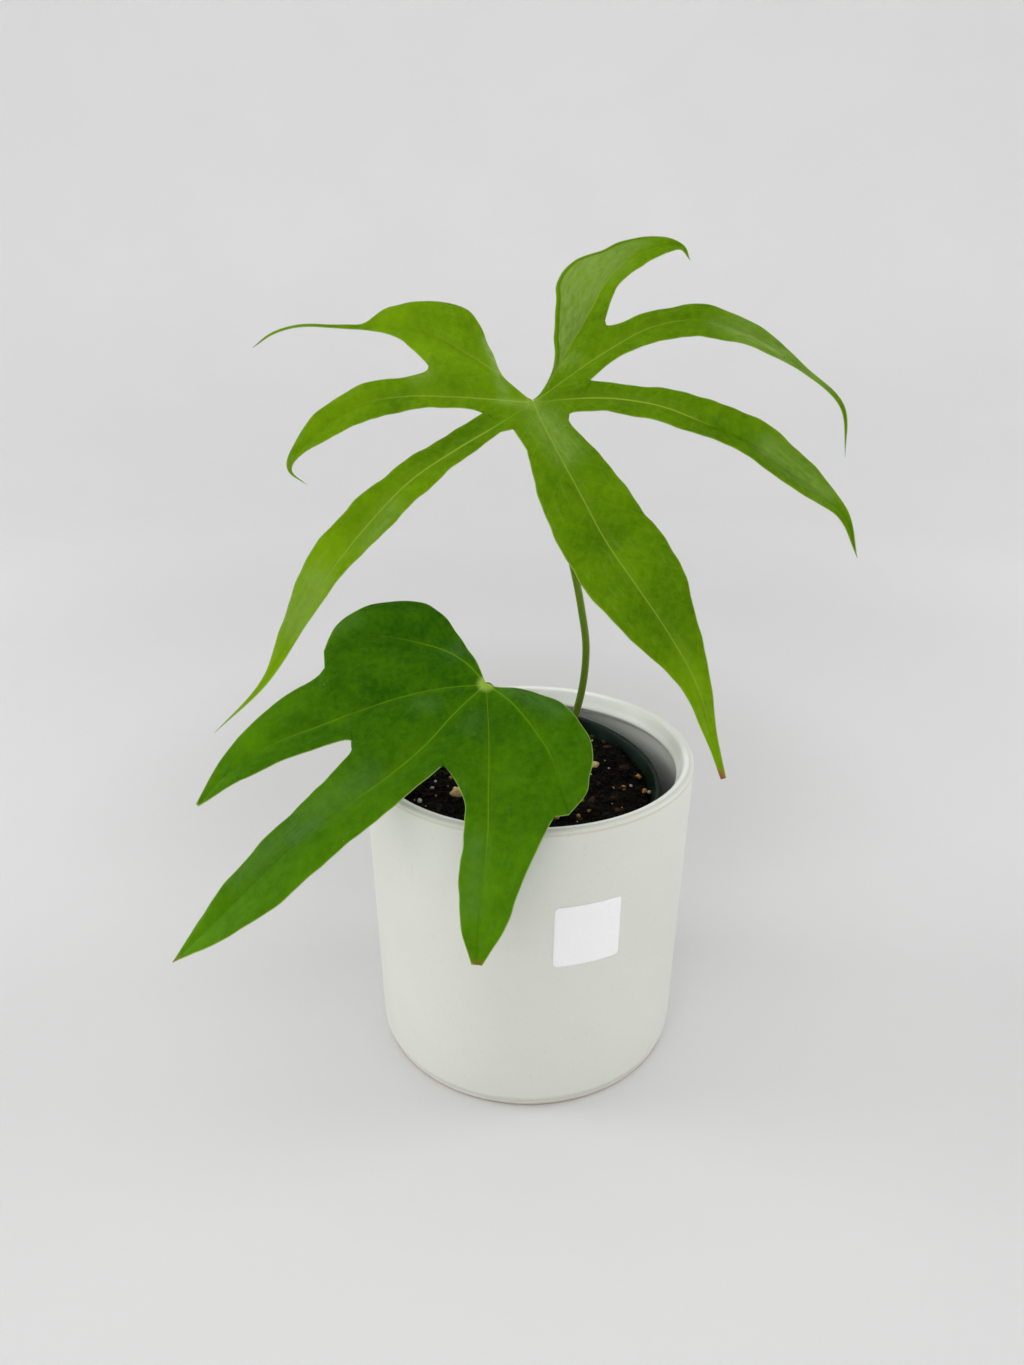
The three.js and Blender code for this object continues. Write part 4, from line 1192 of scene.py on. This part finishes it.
def blade_relief(facts):
    """How far the upper and the under face stand out at a point: the rib, side veins and margin."""
    rib, share = facts["rib_mm"], facts["rib_share"]
    half = 0.55 - 0.33 * share

    def bell(distance, width):
        return math.exp(-((distance / width) ** 2))

    phase = abs(facts["lateral"] % 1 - 0.5)
    quilt = 0.09 * math.cos(2 * math.pi * phase) * eased(rib, 0.8, 4)
    channel = 0.16 * bell(rib, half) - 0.24 * bell(rib, 3.2 * half)
    ridge = (1.0 - 0.8 * share) * bell(rib, half + 0.25)
    knob = KNOB_HEIGHT * bell(facts["heart_mm"], 1.9)
    thin = 0.3 + 0.7 * eased(facts["edge_mm"], 0, 1.3)
    flat = BLADE_THICKNESS / 2
    return (flat + quilt + channel) * thin + knob, (flat + ridge - quilt) * thin + 0.5 * knob


def blade_surface(leaf, seed):
    """A leaf's middle surface: its points, each point's facts as every face there has them, its
    faces, and the facts at the faces' corners."""
    points, seen, point_facts = [], {}, []
    faces, corner_facts = [], []

    def index_of(point, facts):
        key = tuple(round(value, 3) for value in point)
        if key not in seen:
            seen[key] = len(points)
            points.append(point)
            point_facts.append([])
        point_facts[seen[key]].append(facts)
        return seen[key]

    for side, rows in leaf_rows(leaf, seed):
        grid = [[(index_of(point, facts), facts) for point, facts in line] for line in rows]
        for low, high in zip(grid, grid[1:]):
            for column in range(len(low) - 1):
                ring = [low[column], high[column], high[column + 1], low[column + 1]]
                if side > 0:
                    ring.reverse()
                kept = [corner for n, corner in enumerate(ring) if corner[0] != ring[n - 1][0]]
                if len({corner[0] for corner in kept}) > 2:
                    faces.append([corner[0] for corner in kept])
                    corner_facts.append([corner[1] for corner in kept])
    return points, point_facts, faces, corner_facts


def free_edges(faces, corner_facts):
    """The edges that only one face has, as pairs of points, with the facts at both ends."""
    edges = {}
    for face, facts in zip(faces, corner_facts):
        for n, start in enumerate(face):
            end = face[(n + 1) % len(face)]
            if (end, start) in edges:
                del edges[(end, start)]
            else:
                edges[(start, end)] = (facts[n], facts[(n + 1) % len(face)])
    return edges


def surface_normals(points, faces):
    """Each point's normal, weighted by the areas of its faces."""
    normals = [Vector((0, 0, 0)) for _ in points]
    for face in faces:
        a, b, c = (points[corner] for corner in face[:3])
        normal = (b - a).cross(c - a)
        if len(face) == 4:
            normal += (c - a).cross(points[face[3]] - a)
        for corner in face:
            normals[corner] += normal
    return [normal.normalized() for normal in normals]


def make_blade(name, leaf, slot, replaced, seed, top_look, under_look):
    """A leaf's blade: its upper face, its under face and the thin margin that joins them."""
    points, point_facts, faces, corner_facts = blade_surface(leaf, seed)
    edges = free_edges(faces, corner_facts)
    margin = KDTree(len(edges))
    for n, (start, end) in enumerate(edges):
        margin.insert(points[start], n)
    margin.balance()
    upper, lower = [], []
    for point, normal, uses in zip(points, surface_normals(points, faces), point_facts):
        gap = margin.find(point)[2]
        for facts in uses:
            nearest = gap if facts["edge_mm"] < SEAM_MM else max(gap, 0.6)
            facts["edge_mm"] = min(facts["edge_mm"], nearest)
        heights = [blade_relief(facts) for facts in uses]
        upper.append(point + normal * (sum(up for up, _ in heights) / len(heights)))
        lower.append(point - normal * (sum(down for _, down in heights) / len(heights)))

    count = len(points)
    under = [[count + corner for corner in reversed(face)] for face in faces]
    rim = [[start, count + start, count + end, end] for start, end in edges]
    mesh = mesh_from(name, upper + lower, faces + under + rim)
    all_facts = corner_facts + [facts[::-1] for facts in corner_facts]
    all_facts += [[start, start, end, end] for start, end in edges.values()]
    for fact in all_facts[0][0]:
        layer = mesh.attributes.new(fact, "FLOAT", "CORNER")
        layer.data.foreach_set("value", [facts[fact] for ring in all_facts for facts in ring])
    looks = [0] * len(faces) + [1] * len(under) + [0] * len(rim)
    mesh.polygons.foreach_set("material_index", looks)
    mesh.update()
    shown(name, mesh, slot, replaced, top_look, under_look)


# Label
def make_label():
    """A blank paper square with small round corners, bent round the pot."""
    lift, thickness, corner = 0.05, 0.14, 1.6
    half = LABEL_SIDE / 2
    straight = half - corner
    cells = 32
    points = []
    for layer in (lift + thickness, lift):
        for row in range(cells + 1):
            for column in range(cells + 1):
                across = -half + LABEL_SIDE * column / cells
                up = -half + LABEL_SIDE * row / cells
                over_x, over_y = abs(across) - straight, abs(up) - straight
                if over_x > 0 and over_y > 0:
                    scale = max(over_x, over_y) / math.hypot(over_x, over_y)
                    across = math.copysign(straight + over_x * scale, across)
                    up = math.copysign(straight + over_y * scale, up)
                height = LABEL_HEIGHT + up
                radius = wall_radius(height) + layer
                angle = LABEL_TURN + across / radius - math.pi / 2
                points.append((radius * math.cos(angle), radius * math.sin(angle), height))
    mesh = mesh_from("label_sticker", points, sheet_faces(cells, cells))
    shown("label_sticker", mesh, "label_paper", "blank_label", paper_look())


# Stage
def stage_look():
    """Pale paper with painted light and shade: a little lighter close round the plant, lighter again
    far off and up its turned-up edge, and one painted soft shadow behind and under the plant.
    Its lengths are in metres."""
    look = Look("pale_paper", 0.2)
    x, y, z = look.coordinates()
    radius = look.distance(x, y)
    # Painted light: the paper is lighter near the middle, far off and up its turned-up edge
    near = look.mix(look.step(radius, 0.12, 0.26), colour(229, 229, 229), colour(224, 224, 224))
    far = look.mix(look.step(radius, 0.5, 0.9), near, colour(237, 237, 237))
    lifted = look.mix(look.step(z, 0.02, 0.3), far, colour(244, 244, 244))
    # A painted soft shadow: its middle and half sizes
    patch_x, patch_y, half_width, half_depth = -0.015, 0.205, 0.225, 0.24
    from_side = look.math("DIVIDE", look.minus(x, patch_x), half_width)
    from_back = look.math("DIVIDE", look.minus(y, patch_y), half_depth)
    shade = look.step(look.distance(from_side, from_back), 0.45, 1.15, 0.8, 0)
    shaded = look.mix(shade, lifted, colour(207, 207, 206))
    mottle = look.step(look.noise(6, 2), 0.3, 0.7, 0, 0.06)
    look.paint(mottle, shaded, colour(214, 214, 214))
    look.roughen(look.noise(300), 0.3, 0.7, 0.85, 0.95)
    return look.material


def make_stage():
    """A wide pale floor whose edge turns up far off, so no horizon shows from any side."""
    flat, turn, top = 900, 700, 2200
    profile = [(300, 0), (flat, 0)] + arc((flat, turn), turn, -90, 0, 24) + [(flat + turn, top)]
    turns = around(96)
    sides = len(turns)
    points = [(radius * x, radius * y, height) for radius, height in profile for x, y in turns]
    centre = len(points)
    points.append((0, 0, 0))
    faces = []
    for side in range(sides):
        after = (side + 1) % sides
        faces.append((centre, side, after))
        for low in range(0, centre - sides, sides):
            high = low + sides
            faces.append((low + side, high + side, high + after, low + after))
    mesh = mesh_from("floor", points, faces)
    mesh.materials.append(stage_look())
    floor = link(bpy.data.objects.new("floor", mesh))
    floor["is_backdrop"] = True


def soft_light(name, place, size, power, warmth=(1, 1, 1)):
    """A round light in millimetres and watts that points at the middle of the plant."""
    data = bpy.data.lights.new(name, "AREA")
    data.shape = "DISK"
    data.size = size * MM
    data.energy = power
    data.color = warmth
    light = link(bpy.data.objects.new(name, data))
    place = Vector(place)
    turn = (LIGHTS_AIM - place).to_track_quat("-Z", "Y").to_matrix().to_4x4()
    light.matrix_world = Matrix.Translation(place * MM) @ turn


def make_lights():
    world = bpy.data.worlds.new("studio")
    world.use_nodes = True
    background = world.node_tree.nodes["Background"]
    background.inputs["Color"].default_value = (0.995, 1, 1, 1)
    background.inputs["Strength"].default_value = 0.7
    bpy.context.scene.world = world
    soft_light("overhead", (-150, -100, 1300), 1100, 0.4)
    soft_light("front", (-250, -1150, 700), 900, 3.1, (1, 0.99, 0.97))
    soft_light("left", (-1050, 50, 550), 620, 3.9)
    soft_light("right", (1050, 150, 500), 620, 3.2)


def make_camera():
    data = bpy.data.cameras.new("camera")
    data.sensor_width = 36
    data.lens = data.sensor_width * FOCAL_LENGTH_PIXELS / IMAGE_HEIGHT_PIXELS
    data.clip_start = 0.01
    camera = link(bpy.data.objects.new("camera", data))
    pitch = Matrix.Rotation(math.pi / 2 - CAMERA_PITCH, 4, "X")
    turn = pitch @ Matrix.Rotation(CAMERA_ROLL, 4, "Z")
    camera.matrix_world = Matrix.Translation(CAMERA_PLACE * MM) @ turn
    bpy.context.scene.camera = camera
    bpy.context.scene.view_settings.view_transform = "Standard"


make_camera()
make_lights()
make_stage()
make_cachepot()
make_nursery_pot()
make_mix_body()
make_mix_bits()
make_mix_fibres()
make_stem()
make_sheath("bract_back", Vector((7, 7, 95)), 20, 4.5, 70, (-1, 2))
make_sheath("bract_front", Vector((6, 4.5, 96)), 15, 3.6, 235, (-2, -1))
make_petiole("upper_stalk", UPPER_PETIOLE, "petiole_upper")
make_petiole("lower_stalk", LOWER_PETIOLE, "petiole_lower")
make_blade(
    "upper_blade", UPPER_LEAF, "fresh_leaf", "leaf_upper", 3,
    blade_look("fresh_blade", FRESH_GREENS, 0.3, 0.08),
    blade_look("fresh_underside", FRESH_UNDER_GREENS, 0.85, 0.2, under=True),
)
make_blade(
    "lower_blade", LOWER_LEAF, "dark_leaf", "leaf_lower", 8,
    blade_look("dark_blade", DARK_GREENS, 0.85, 0.25),
    blade_look("dark_underside", DARK_UNDER_GREENS, 0.85, 0.2, under=True),
)
make_label()

visual_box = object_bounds()
